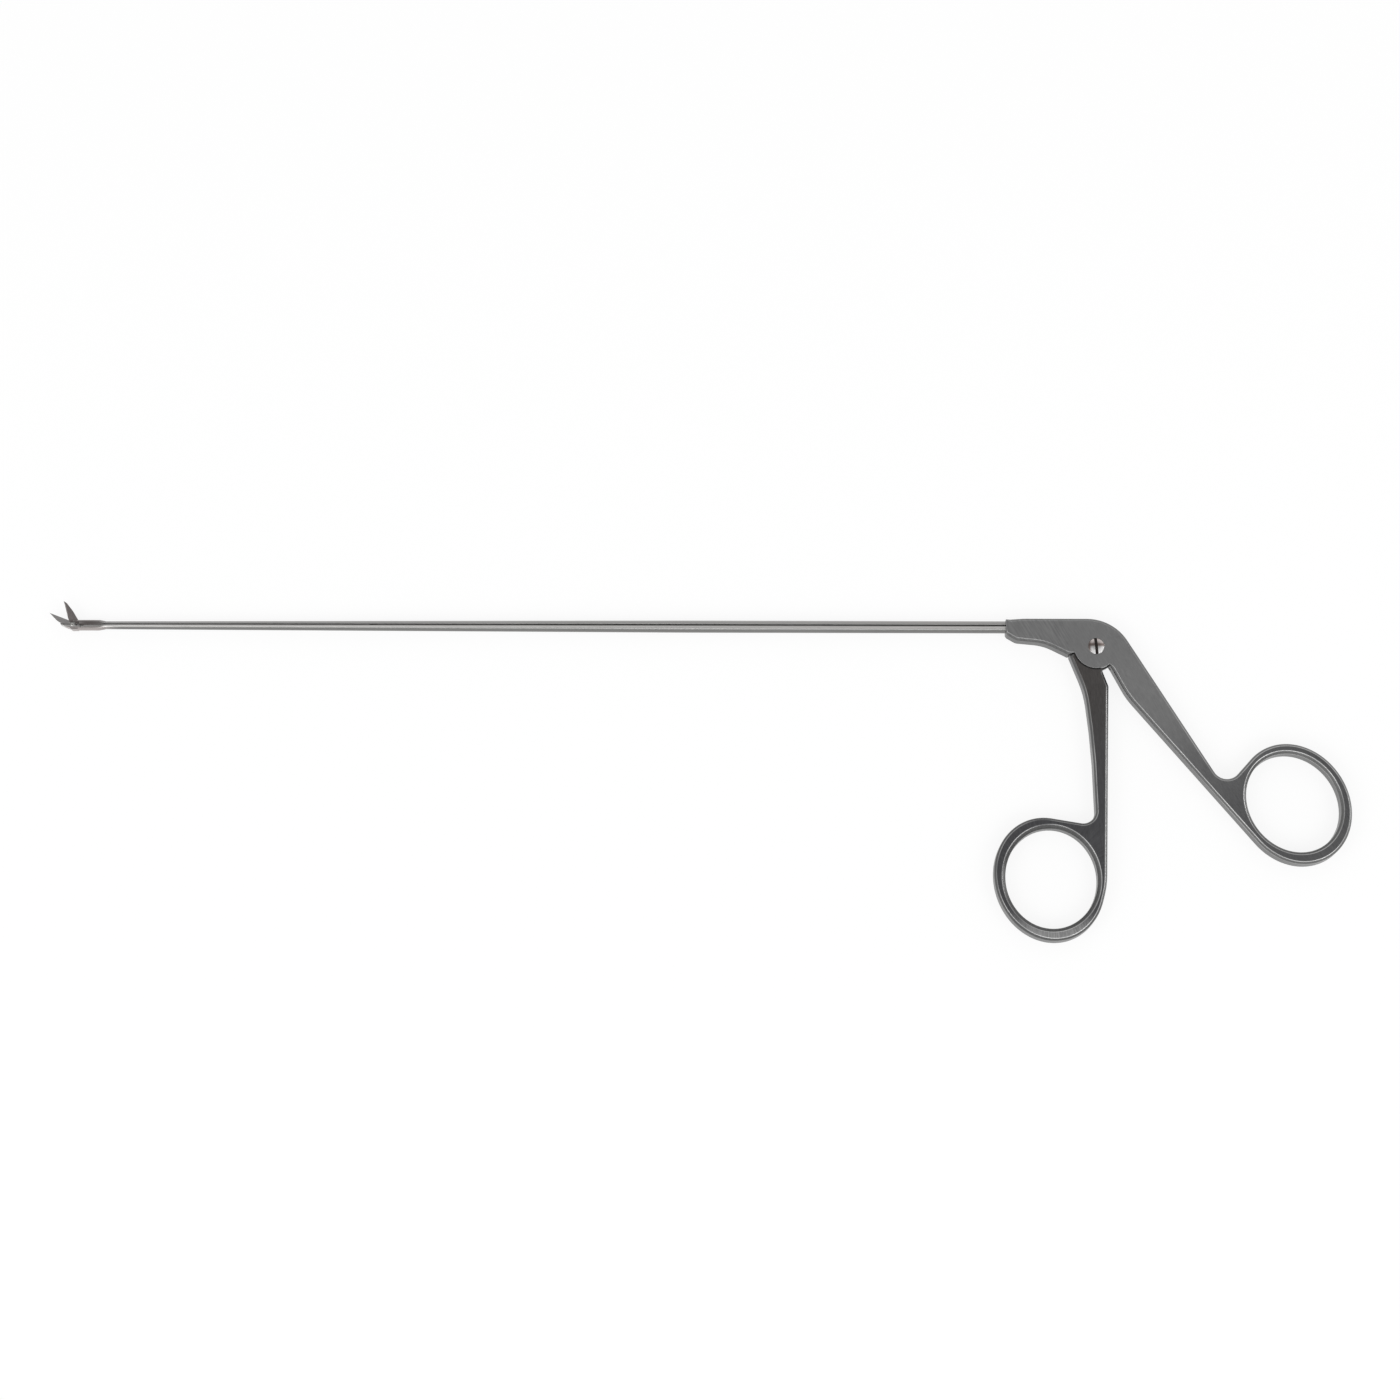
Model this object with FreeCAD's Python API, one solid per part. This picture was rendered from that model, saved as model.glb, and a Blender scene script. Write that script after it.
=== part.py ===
# Angled surgical scissors with a long sliding shaft, lying flat on one side.
# Lengths are in millimetres and angles in degrees.
# X runs from the blade tips (minus) to the thumb ring (plus), Y runs up the body,
# Z runs across the thickness of the handles.
# The origin is where the axis of the pivot screw meets the flat side that the part rests on.

import math
import os

import FreeCAD
import Part

# handles and body
plate_thickness = 4.6
rim_bevel = 0.58
hole_bevel = 0.92
mid_z = plate_thickness / 2

# nose of the body, seen from the side
nose_end = -21.9
body_top = 6.9
nose_top_drop = 0.3
nose_top_slope_length = 4.4
nose_chin_y = 2.95
nose_belly = (-19.2, 1.5)
nose_sag = (-12.5, 0.86)
nose_corner_radius = 0.8
nose_belly_radius = 2.5
nose_sag_radius = 12.0
shelf_corner = (-6.75, -2.02)
shelf_angle = 196.8

# pivot lobe between the handles
lobe_radius = 5.4
lobe_gap = 0.1
rear_notch_angle = -54.3
notch_rim_reach = 1.2
notch_rim_top = -1.4

# rear handle
shoulder_radius = 11.3
rear_back_corner = (4.28, body_top)
rear_web_corner = (30.13, -34.76)
rear_inner_corner = (7.23, -12.1)
rear_inner_radius = 20.0
rear_web_radius = 3.5
rear_ring_centre = (46.745, -38.465)
rear_ring_half_length = 15.09
rear_ring_half_width = 12.98
rear_ring_angle = -61.3
rear_hole_centre = (46.385, -38.205)
rear_hole_half_length = 12.39
rear_hole_half_width = 10.78
rear_hole_angle = -57.2

# front handle
heel_angle = -77.9
shoulder_gap = 0.12
shoulder_corner = (-6.45, -2.2)
front_outer_bend = (-2.94, -11.1)
front_outer_bend_radius = 25.0
front_outer_waist = (-1.45, -24.6)
front_outer_waist_radius = 100.0
front_web_corner = (-0.87, -43.87)
front_web_radius = 3.0
front_inner_low = (1.42, -58.2)
front_inner_low_radius = 20.0
front_inner_high = (2.8, -9.8)
front_inner_high_radius = 1.2
front_ring_centre = (-12.27, -56.79)
front_ring_half_length = 15.02
front_ring_half_width = 12.99
front_ring_angle = -72.3
front_hole_centre = (-11.78, -56.59)
front_hole_half_length = 12.05
front_hole_half_width = 10.94
front_hole_angle = -83.6

# slot in the body and the tongue that turns in it
slot_width = 2.1
slot_side_gap = 0.05
slot_mouth_reach = 1.0
tongue_radius = 4.9
tongue_gap = 0.3
tongue_root = 0.3
tongue_front_inset = 6.0
tongue_rear_inset = 2.0
fork_gap = 0.05
fork_floor = 2.9
channel_rear = 2.0
channel_top = 6.45
channel_shoulder_x = -3.0
channel_end_top = 5.3
channel_end_bottom = 3.0
channel_end_radius = 0.4
channel_shoulder_radius = 1.0

# pivot screw
screw_radius = 1.2
screw_gap = 0.03
screw_head_radius = 1.95
screw_head_depth = 0.7
screw_dome = 0.32
screw_slot_width = 0.7
screw_slot_depth = 0.5
screw_slot_lean = 5.0

# shaft, with its length from the screw's axis to the blade pivot
shaft_length = 247.3
shaft_y = 5.13
shaft_radius = 1.47
shaft_tip_radius = 0.965
shaft_depth = 12.9
shaft_rear = nose_end + shaft_depth
shaft_bore_gap = 0.03
shaft_end_gap = 0.15
taper_start = -100.0
split_y = 5.4
slide_gap = 0.02

# blade pivot, and the head of the shaft measured from it
blade_pivot = (-shaft_length, 5.0)
taper_end = 8.1
head_start = 6.4
head_front = -3.3
head_radius = 1.3
head_top = 1.3
head_half_width = 1.0
cheek_drop_start = 7.7
cheek_drop_end = 6.7
cheek_drop_radius = 0.5
cheek_floor = 0.0
cheek_front = -0.7
cheek_front_floor = 0.64
cheek_step = 1.58
cheek_corner_radius = 0.3
cheek_tip_radius = 0.1
cheek_step_radius = 0.15
blade_slot_width = 1.0
blade_slot_rear = 2.6
channel_floor = -0.78

# lug of the lower bar under the fixed blade: corners (x, y, radius) from the blade pivot
lug_rear = 0.8
lug_slope = 0.1
lug_top = 0.58
lug_foot_radius = 0.15
lug_corner_radius = 0.2
lug_crown = [(-0.7, lug_top, 0.4), (-1.45, 0.15, 0.5)]
lug_point = [(-2.9, 0.5, 0), (-2.84, 0.2, 0)]
lug_belly = [(-1.75, -0.38, 1.5), (-0.5, -0.8, 0.3), (-0.1, -1.15, 0.3)]
lug_heel = 1.0
channel_mouth = [(-4.3, 1.3, 0), (-2.6, 0.32, 0), (-1.5, -0.12, 0), (-0.6, -0.58, 0.5)]
channel_heel = 0.0
channel_heel_radius = 0.5

# strap that joins the upper bar to the tongue
strap_thickness = 0.8
strap_top = 6.25
strap_root = 1.5
strap_bend_x = -4.2
strap_bend_radius = 2.0
strap_start_x = -6.6
strap_start_radius = 0.6
drive_arm = 4.2
handle_pin_radius = 0.5
handle_pin_gap = 0.03
handle_pin_lift = 0.04
strap_eye_radius = 0.95
strap_eye_lean = 57.0

# pins at the blade pivot
blade_pin_radius = 0.3
blade_pin_head_radius = 0.38
blade_pin_head_height = 0.1
blade_pin_gap = 0.02
blade_drive_arm = 0.965
blade_drive_radius = 0.18
blade_drive_gap = 0.02
blade_rivet_back = 1.95
blade_rivet_drop = 0.43
blade_rivet_radius = 0.18
blade_travel_angle = 40.7

# blades while open: corners (x, y, radius) from the blade pivot
blade_thickness = 0.47
blade_gap = 0.02
blade_seat_gap = 0.02
edge_bevel = 0.25
fixed_blade_tip = (-5.8, 3.2, 0)
fixed_blade_belly = [(-4.0, 1.32, 3.0), (-2.3, 0.26, 1.0), (-1.5, -0.07, 1.0), (-0.6, -0.52, 0.5)]
fixed_foot_front = 0.1
fixed_foot_front_radius = 0.5
fixed_foot_inset = 0.1
fixed_foot_radius = 0.1
fixed_foot_drop = 0.06
fixed_step_back = 0.4
fixed_step_radius = 0.2
fixed_crown_rise = 0.12
fixed_crown_rear_radius = 0.3
fixed_crown_front = -0.65
fixed_crown_front_radius = 0.2
fixed_blade_heel = (-0.7, 1.24, 0)
moving_blade_tip = (-2.4, 6.05, 0)
moving_blade_heel = (-1.2, 1.82, 0)
moving_blade_root = [
    (-0.82, 0.9, 0.4),
    (-0.69, 0.0, 0.3),
    (0.0, -0.4, 0.3),
    (0.6, 0.1, 0.3),
    (1.55, 0.9, 0.3),
]
moving_blade_back = [(-0.05, 3.55, 6.0), (-1.6, 5.5, 2.0)]
blade_eye_radius = 0.62

# pins across the nose of the body
anchor_front_depth = 3.4
anchor_rear_depth = 9.4
anchor_places = {"front": nose_end + anchor_front_depth, "rear": nose_end + anchor_rear_depth}
anchor_y = 4.4
anchor_radius = 0.5
anchor_recess = 0.05
pin_gap = 0.01

# headed rivets between the two bars of the shaft
guide_front_back = 72.3
guide_rear_x = -75.0
guide_places = {"front": guide_front_back - shaft_length, "rear": guide_rear_x}
guide_stem_radius = 0.3
guide_head_radius = 0.5
guide_head_height = 0.28
guide_neck_height = 0.26
guide_gap = 0.03
guide_foot_y = 4.45

# movement: how far the upper bar slides when the blades close
slide_travel = 2 * blade_drive_arm * math.tan(math.radians(blade_travel_angle / 2))
handle_travel = 2 * math.degrees(math.asin(slide_travel / 2 / drive_arm))


def vec(x, y, z=0.0):
    return FreeCAD.Vector(x, y, z)


def polar(radius, angle, centre=(0.0, 0.0)):
    turn = math.radians(angle)
    return (centre[0] + radius * math.cos(turn), centre[1] + radius * math.sin(turn))


class Oval:
    """An ellipse in the XY plane, with its long axis turned by an angle."""

    def __init__(self, centre, half_length, half_width, angle):
        self.centre = centre
        self.size = (half_length, half_width)
        self.turn = math.radians(angle)

    def to_circle(self, point):
        dx = point[0] - self.centre[0]
        dy = point[1] - self.centre[1]
        along = dx * math.cos(self.turn) + dy * math.sin(self.turn)
        across = -dx * math.sin(self.turn) + dy * math.cos(self.turn)
        return (along / self.size[0], across / self.size[1])

    def at(self, parameter):
        along = self.size[0] * math.cos(parameter)
        across = self.size[1] * math.sin(parameter)
        x = self.centre[0] + along * math.cos(self.turn) - across * math.sin(self.turn)
        y = self.centre[1] + along * math.sin(self.turn) + across * math.cos(self.turn)
        return (x, y)

    def tangent_from(self, point, side):
        """Parameter where the line from a point touches the oval; side is +1 or -1."""
        x, y = self.to_circle(point)
        return math.atan2(y, x) + side * math.acos(1 / math.hypot(x, y))

    def edge(self, first=0.0, last=2 * math.pi):
        curve = Part.Ellipse(vec(0, 0), self.size[0], self.size[1])
        curve.rotate(FreeCAD.Placement(vec(0, 0), vec(0, 0, 1), math.degrees(self.turn)))
        curve.translate(vec(*self.centre))
        return curve.toShape(first, last)


def rounded_path(corners):
    """Edges of an open path through corners (x, y, radius), each corner rounded by its radius."""
    edges = []
    last = vec(*corners[0][:2])
    for before, corner, after in zip(corners, corners[1:], corners[2:]):
        here = vec(*corner[:2])
        back = (vec(*before[:2]) - here).normalize()
        ahead = (vec(*after[:2]) - here).normalize()
        radius = corner[2]
        half = back.getAngle(ahead) / 2
        if radius > 0:
            reach = radius / math.tan(half)
            middle = (back + ahead).normalize()
            start = here + back * reach
            end = here + ahead * reach
            top = here + middle * (radius / math.sin(half) - radius)
            edges.append(Part.makeLine(last, start))
            edges.append(Part.Arc(start, top, end).toShape())
            last = end
        else:
            edges.append(Part.makeLine(last, here))
            last = here
    edges.append(Part.makeLine(last, vec(*corners[-1][:2])))
    return edges


def closed_path(corners):
    """Edges of a closed path through corners (x, y, radius)."""
    first = corners[0]
    second = corners[1]
    seam = ((first[0] + second[0]) / 2, (first[1] + second[1]) / 2, 0)
    return rounded_path([seam, *corners[1:], first, seam])


def arc(radius, first, last):
    """Round edge about the axis of the screw, from one angle to another."""
    ends = [vec(*polar(radius, angle)) for angle in (first, (first + last) / 2, last)]
    return Part.Arc(*ends).toShape()


def plate(edges, bottom, top):
    """Solid between two heights with the given outline."""
    wire = Part.Wire(Part.__sortEdges__(edges))
    face = Part.Face(wire)
    face.translate(vec(0, 0, bottom))
    return face.extrude(vec(0, 0, top - bottom)).removeSplitter()


def box(x0, x1, y0, y1, z0, z1):
    return Part.makeBox(x1 - x0, y1 - y0, z1 - z0, vec(x0, y0, z0))


def peg(radius, place, bottom, top):
    """Round pin along Z."""
    return Part.makeCylinder(radius, top - bottom, vec(place[0], place[1], bottom))


def rod(radius, x0, x1):
    """Round bar along X on the axis of the shaft."""
    return Part.makeCylinder(radius, x1 - x0, vec(x0, shaft_y, mid_z), vec(1, 0, 0))


def rim_edges(solid, chosen):
    """Edges that lie in the two flat sides of a plate and that a test picks by their middle."""
    picked = []
    for edge in solid.Edges:
        low = edge.BoundBox.ZMin
        high = edge.BoundBox.ZMax
        flat = high - low < 1e-6
        outside = abs(low) < 1e-6 or abs(low - plate_thickness) < 1e-6
        if flat and outside:
            middle = edge.valueAt((edge.FirstParameter + edge.LastParameter) / 2)
            if chosen(middle):
                picked.append(edge)
    return picked


def with_hole(solid, hole):
    """The plate with an oval finger hole, bevelled on both sides."""
    cutter = plate([hole.edge()], 0, plate_thickness)
    for z, lean in ((0, 1), (plate_thickness, -1)):
        half_length = hole.size[0] + hole_bevel
        half_width = hole.size[1] + hole_bevel
        mouth = Oval(hole.centre, half_length, half_width, math.degrees(hole.turn))
        outer = Part.Wire([mouth.edge()])
        inner = Part.Wire([hole.edge()])
        outer.translate(vec(0, 0, z))
        inner.translate(vec(0, 0, z + lean * hole_bevel))
        cutter = cutter.fuse(Part.makeLoft([outer, inner], True, True))
    return solid.cut(cutter)


def head_x(distance):
    """Place along X of something measured from the blade pivot."""
    return blade_pivot[0] + distance


def at_pivot(corners):
    """Corners (x, y, radius) measured from the blade pivot, moved to their place."""
    return [(head_x(x), blade_pivot[1] + y, radius) for x, y, radius in corners]


def shaft_round():
    """The full round section of the shaft, from the head to the body."""
    front = head_x(head_front)
    neck = head_x(taper_end)
    points = [
        vec(front, shaft_y),
        vec(front, shaft_y + head_radius),
        vec(head_x(head_start), shaft_y + head_radius),
        vec(neck, shaft_y + shaft_tip_radius),
        vec(taper_start, shaft_y + shaft_radius),
        vec(shaft_rear, shaft_y + shaft_radius),
        vec(shaft_rear, shaft_y),
        vec(front, shaft_y),
    ]
    turned = Part.Face(Part.makePolygon(points)).revolve(vec(0, shaft_y), vec(1, 0, 0), 360)
    turned.translate(vec(0, 0, mid_z))
    far = shaft_radius * 3
    low = shaft_y - far
    high = shaft_y + far
    head = box(front, neck, low, high, mid_z - head_half_width, mid_z + head_half_width)
    rest = box(neck, shaft_rear, low, high, mid_z - far, mid_z + far)
    return turned.common(head).fuse(turned.common(rest)).removeSplitter()


def rear_handle():
    """Body, shank and thumb ring in one plate."""
    ring = Oval(rear_ring_centre, rear_ring_half_length, rear_ring_half_width, rear_ring_angle)
    hole = Oval(rear_hole_centre, rear_hole_half_length, rear_hole_half_width, rear_hole_angle)
    shelf_end = polar(lobe_radius, shelf_angle)
    notch_end = polar(lobe_radius, rear_notch_angle)
    touch = ring.tangent_from(rear_inner_corner, 1)
    leave = ring.tangent_from(rear_web_corner, -1)
    if leave < touch:
        leave += 2 * math.pi
    nose_slope_x = nose_end + nose_top_slope_length
    back = rounded_path([
        (*ring.at(leave), 0),
        (*rear_web_corner, rear_web_radius),
        (*rear_back_corner, shoulder_radius),
        (nose_slope_x, body_top, nose_sag_radius),
        (nose_end, body_top - nose_top_drop, 0),
        (nose_end, nose_chin_y, nose_corner_radius),
        (*nose_belly, nose_belly_radius),
        (*nose_sag, nose_sag_radius),
        (*shelf_corner, 0),
        (*shelf_end, 0),
    ])
    lobe = arc(lobe_radius, shelf_angle - 360, rear_notch_angle)
    front = rounded_path([
        (*notch_end, 0),
        (*rear_inner_corner, rear_inner_radius),
        (*ring.at(touch), 0),
    ])
    solid = plate([*back, lobe, *front, ring.edge(touch, leave)], 0, plate_thickness)

    def outside_notch(point):
        near_lobe = math.hypot(point.x, point.y) < lobe_radius + notch_rim_reach
        return not near_lobe or point.y > notch_rim_top

    solid = solid.makeChamfer(rim_bevel, rim_edges(solid, outside_notch))
    solid = with_hole(solid, hole)
    return solid.cut(body_slot()).cut(body_holes())


def body_slot():
    """Slot through the body for the tongue and the strap, open at the lobe."""
    low = mid_z - slot_width / 2
    high = mid_z + slot_width / 2
    far = lobe_radius + slot_mouth_reach
    front_angle = shelf_angle - 360
    mouth = [
        Part.makeLine(vec(0, 0), vec(*polar(far, front_angle))),
        arc(far, front_angle, rear_notch_angle),
        Part.makeLine(vec(*polar(far, rear_notch_angle)), vec(0, 0)),
    ]
    channel = closed_path([
        (shaft_rear - slide_gap, channel_end_bottom, 0),
        (channel_rear, channel_end_bottom, 0),
        (channel_rear, channel_end_top, channel_end_radius),
        (channel_shoulder_x, channel_top, channel_shoulder_radius),
        (shaft_rear - slide_gap, channel_top, 0),
    ])
    room = peg(tongue_radius + tongue_gap, (0, 0), low, high)
    return room.fuse(plate(mouth, low, high)).fuse(plate(channel, low, high))


def body_holes():
    """Bore for the shaft, hole and seat for the screw, and cross holes for the anchor pins."""
    cuts = rod(shaft_radius + shaft_bore_gap, nose_end - 1, shaft_rear + shaft_end_gap)
    cuts = cuts.fuse(peg(screw_radius + pin_gap, (0, 0), -1, plate_thickness + 1))
    seat = plate_thickness - screw_head_depth
    cuts = cuts.fuse(peg(screw_head_radius + screw_gap, (0, 0), seat, plate_thickness + 1))
    for x in anchor_places.values():
        cuts = cuts.fuse(peg(anchor_radius + pin_gap, (x, anchor_y), -1, plate_thickness + 1))
    return cuts


def front_handle():
    """Finger ring, shank and shoulders in one plate, with a thinner tongue round the screw."""
    ring = Oval(front_ring_centre, front_ring_half_length, front_ring_half_width, front_ring_angle)
    hole = Oval(front_hole_centre, front_hole_half_length, front_hole_half_width, front_hole_angle)
    heel_radius = lobe_radius + lobe_gap
    heel = polar(heel_radius, heel_angle)
    shelf_turn = shelf_angle + math.degrees(shoulder_gap / heel_radius) * 2
    shelf_end = polar(heel_radius, shelf_turn)
    web_touch = ring.tangent_from(front_web_corner, 1)
    low_touch = ring.tangent_from(front_inner_low, -1)
    if low_touch < web_touch:
        low_touch += 2 * math.pi
    outer = rounded_path([
        (*shelf_end, 0),
        (*shoulder_corner, 0),
        (*front_outer_bend, front_outer_bend_radius),
        (*front_outer_waist, front_outer_waist_radius),
        (*front_web_corner, front_web_radius),
        (*ring.at(web_touch), 0),
    ])
    inner = rounded_path([
        (*ring.at(low_touch), 0),
        (*front_inner_low, front_inner_low_radius),
        (*front_inner_high, front_inner_high_radius),
        (*heel, 0),
    ])
    seat = arc(heel_radius, heel_angle, shelf_turn - 360)
    solid = plate([*outer, ring.edge(web_touch, low_touch), *inner, seat], 0, plate_thickness)

    def outside_heel(point):
        return math.hypot(point.x, point.y) > heel_radius + 0.01

    solid = solid.makeChamfer(rim_bevel, rim_edges(solid, outside_heel))
    solid = with_hole(solid, hole)
    return solid.fuse(tongue()).removeSplitter()


def tongue():
    """Disc round the screw with a neck to the shoulders and a fork at the top for the strap."""
    low = mid_z - slot_width / 2 + slot_side_gap
    high = mid_z + slot_width / 2 - slot_side_gap
    reach = lobe_radius + lobe_gap + tongue_root
    first = shelf_angle - 360 + tongue_front_inset
    last = heel_angle - tongue_rear_inset
    neck = [
        Part.makeLine(vec(0, 0), vec(*polar(reach, first))),
        arc(reach, first, last),
        Part.makeLine(vec(*polar(reach, last)), vec(0, 0)),
    ]
    disc = peg(tongue_radius, (0, 0), low, high).fuse(plate(neck, low, high))
    disc = disc.cut(peg(screw_radius + screw_gap, (0, 0), low - 1, high + 1))
    half = strap_thickness / 2 + fork_gap
    far = tongue_radius + 1
    fork = box(-far, far, fork_floor, far, mid_z - half, mid_z + half)
    pin_hole = peg(handle_pin_radius + pin_gap, handle_pin_place(), low - 1, high + 1)
    return disc.cut(fork).cut(pin_hole)


def handle_pin_place():
    """Where the handle drive pin is while the blades are open."""
    return polar(drive_arm, 90 - handle_travel / 2)


def strap_eye_place():
    """Centre of the eye in the strap, level with the middle of the pin's arc."""
    x, y = handle_pin_place()
    return (x, (y + drive_arm) / 2)


def pivot_screw():
    """Domed, slotted screw that the front handle turns on."""
    seat = plate_thickness - screw_head_depth
    shank = peg(screw_radius, (0, 0), 0, seat)
    head = peg(screw_head_radius, (0, 0), seat, plate_thickness)
    rise = screw_dome
    ball = (screw_head_radius ** 2 + rise ** 2) / (2 * rise)
    dome = Part.makeSphere(ball, vec(0, 0, plate_thickness + rise - ball))
    dome = dome.common(peg(screw_head_radius, (0, 0), plate_thickness, plate_thickness + rise + 1))
    half = screw_slot_width / 2
    far = screw_head_radius + 1
    top = plate_thickness + rise
    slot = box(-half, half, -far, far, top - screw_slot_depth, top + 1)
    slot.rotate(vec(0, 0), vec(0, 0, 1), screw_slot_lean)
    return shank.fuse(head).fuse(dome).cut(slot).removeSplitter()


def strap():
    """Flat strap with an eye, from the rear end of the upper bar to the pin in the tongue."""
    floor = split_y + slide_gap / 2
    root = shaft_rear - strap_root
    eye = strap_eye_place()
    low = mid_z - strap_thickness / 2
    high = mid_z + strap_thickness / 2
    outline = closed_path([
        (root, floor, 0),
        (strap_start_x, floor, strap_start_radius),
        (eye[0] - strap_eye_radius, eye[1], 0),
        (eye[0] + strap_eye_radius, eye[1], 0),
        (*polar(strap_eye_radius, strap_eye_lean, eye), 0),
        (strap_bend_x, strap_top, strap_bend_radius),
        (root, strap_top, 0),
    ])
    return plate(outline, low, high).fuse(peg(strap_eye_radius, eye, low, high))


def strap_hole():
    """Hole for the handle drive pin, a little higher than wide because the pin moves on an arc."""
    x, y = strap_eye_place()
    reach = handle_pin_radius + handle_pin_gap
    low = y - handle_pin_lift
    high = y + handle_pin_lift
    hole = box(x - reach, x + reach, low, high, 0, plate_thickness)
    for end in (low, high):
        hole = hole.fuse(peg(reach, (x, end), 0, plate_thickness))
    return hole


def upper_shaft():
    """Sliding bar with cheeks at the head and a strap inside the body."""
    floor = split_y + slide_gap / 2
    pivot_y = blade_pivot[1]
    low_floor = pivot_y + cheek_floor + slide_gap / 2
    far = shaft_y + shaft_radius * 2
    above = closed_path([
        (shaft_rear, floor, 0),
        (shaft_rear, far, 0),
        (head_x(head_start), far, 0),
        (head_x(head_start), pivot_y + head_top, 0),
        (head_x(cheek_front), pivot_y + head_top, cheek_corner_radius),
        (head_x(cheek_front), pivot_y + cheek_front_floor, cheek_tip_radius),
        (head_x(cheek_step), pivot_y + cheek_front_floor, cheek_step_radius),
        (head_x(cheek_step), low_floor, 0),
        (head_x(cheek_drop_end), low_floor, cheek_drop_radius),
        (head_x(cheek_drop_start), floor, cheek_drop_radius),
    ])
    bar = shaft_round().common(plate(above, 0, plate_thickness))
    bar = bar.fuse(strap()).cut(strap_hole())
    half = blade_slot_width / 2
    bar = bar.cut(box(head_x(head_front), head_x(blade_slot_rear), 0, far, mid_z - half, mid_z + half))
    bar = bar.cut(peg(blade_drive_radius + pin_gap, blade_drive_place(), 0, plate_thickness))
    for x in guide_places.values():
        bar = bar.cut(guide_slot(x))
    return bar.removeSplitter()


def guide_slot(x):
    """Undercut slot in the upper bar for one guide rivet, as long as the bar slides."""
    stem = guide_stem_radius + guide_gap
    head = guide_head_radius + guide_gap
    mouth = split_y - slide_gap
    neck_top = split_y + guide_neck_height
    roof = neck_top + guide_head_height + guide_gap
    ledge = neck_top - guide_gap
    last = x + slide_travel
    cut = box(x, last, mouth, roof, mid_z - stem, mid_z + stem)
    cut = cut.fuse(box(x, last, ledge, roof, mid_z - head, mid_z + head))
    for end in (x, last):
        cut = cut.fuse(upright(stem, end, mouth, roof))
        cut = cut.fuse(upright(head, end, ledge, roof))
    return cut


def upright(radius, x, bottom, top):
    """Round pin along Y in the middle of the shaft."""
    return Part.makeCylinder(radius, top - bottom, vec(x, bottom, mid_z), vec(0, 1, 0))


def guide_rivet(x):
    """Headed rivet that stands in the lower bar and holds the upper bar down."""
    neck_top = split_y + guide_neck_height
    stem = upright(guide_stem_radius, x, guide_foot_y, neck_top)
    head = upright(guide_head_radius, x, neck_top, neck_top + guide_head_height)
    return stem.fuse(head).removeSplitter()


def blade_channel():
    """Channel along the head of the lower bar that the fixed blade sits in."""
    half = blade_slot_width / 2
    rear = head_x(blade_slot_rear)
    floor = blade_pivot[1] + channel_floor
    far = shaft_y + shaft_radius * 2
    mouth = at_pivot(channel_mouth)
    outline = closed_path([
        (rear, floor, 0),
        (rear, far, 0),
        (mouth[0][0], far, 0),
        *mouth,
        (head_x(channel_heel), floor, channel_heel_radius),
    ])
    return plate(outline, mid_z - half, mid_z + half)


def lower_shaft():
    """Fixed bar with a lug and a channel at the head for the blades."""
    top = split_y - slide_gap / 2
    low_top = blade_pivot[1] + cheek_floor - slide_gap / 2
    bottom = shaft_y - shaft_radius * 2
    below = closed_path([
        (shaft_rear, bottom, 0),
        (shaft_rear, top, 0),
        (head_x(cheek_drop_start), top, cheek_drop_radius),
        (head_x(cheek_drop_end), low_top, cheek_drop_radius),
        (head_x(lug_rear), low_top, lug_foot_radius),
        *at_pivot([(lug_rear - lug_slope, lug_top, lug_corner_radius)]),
        *at_pivot(lug_crown),
        *at_pivot(lug_point),
        *at_pivot(lug_belly),
        (head_x(lug_heel), bottom, 0),
    ])
    bar = shaft_round().common(plate(below, 0, plate_thickness))
    bar = bar.cut(blade_channel())
    bar = bar.cut(peg(blade_pin_radius + pin_gap, blade_pivot, 0, plate_thickness))
    bar = bar.cut(peg(blade_rivet_radius + pin_gap, blade_rivet_place(), 0, plate_thickness))
    for x in anchor_places.values():
        bar = bar.cut(peg(anchor_radius + pin_gap, (x, anchor_y), -1, plate_thickness + 1))
    for x in guide_places.values():
        bar = bar.cut(upright(guide_stem_radius + pin_gap, x, guide_foot_y, split_y + 1))
    return bar.removeSplitter()


def blade_rivet_place():
    """Where the rivet holds the fixed blade in its channel."""
    return (head_x(blade_rivet_back), blade_pivot[1] - blade_rivet_drop)


def fixed_blade():
    """Blade that stays with the lower bar, on the side away from the moving blade."""
    foot_rear = blade_slot_rear - fixed_foot_inset
    foot_floor = channel_floor + blade_seat_gap
    foot_top = cheek_floor - fixed_foot_drop
    crown = lug_top + fixed_crown_rise
    corners = at_pivot([
        fixed_blade_tip,
        *fixed_blade_belly,
        (fixed_foot_front, foot_floor, fixed_foot_front_radius),
        (foot_rear, foot_floor, fixed_foot_radius),
        (foot_rear, foot_top, fixed_foot_radius),
        (lug_rear + fixed_step_back, foot_top, fixed_step_radius),
        (lug_rear - lug_slope, crown, fixed_crown_rear_radius),
        (fixed_crown_front, crown, fixed_crown_front_radius),
        fixed_blade_heel,
    ])
    top = mid_z - blade_gap / 2
    bottom = top - blade_thickness
    solid = sharpened(plate(closed_path(corners), bottom, top), corners[0], corners[-1], bottom)
    solid = solid.cut(peg(blade_pin_radius + blade_pin_gap, blade_pivot, 0, plate_thickness))
    return solid.cut(peg(blade_rivet_radius + pin_gap, blade_rivet_place(), 0, plate_thickness))


def blade_drive_place():
    """Where the blade drive pin is while the blades are open."""
    return (blade_pivot[0] + slide_travel / 2, blade_pivot[1] + blade_drive_arm)


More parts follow.
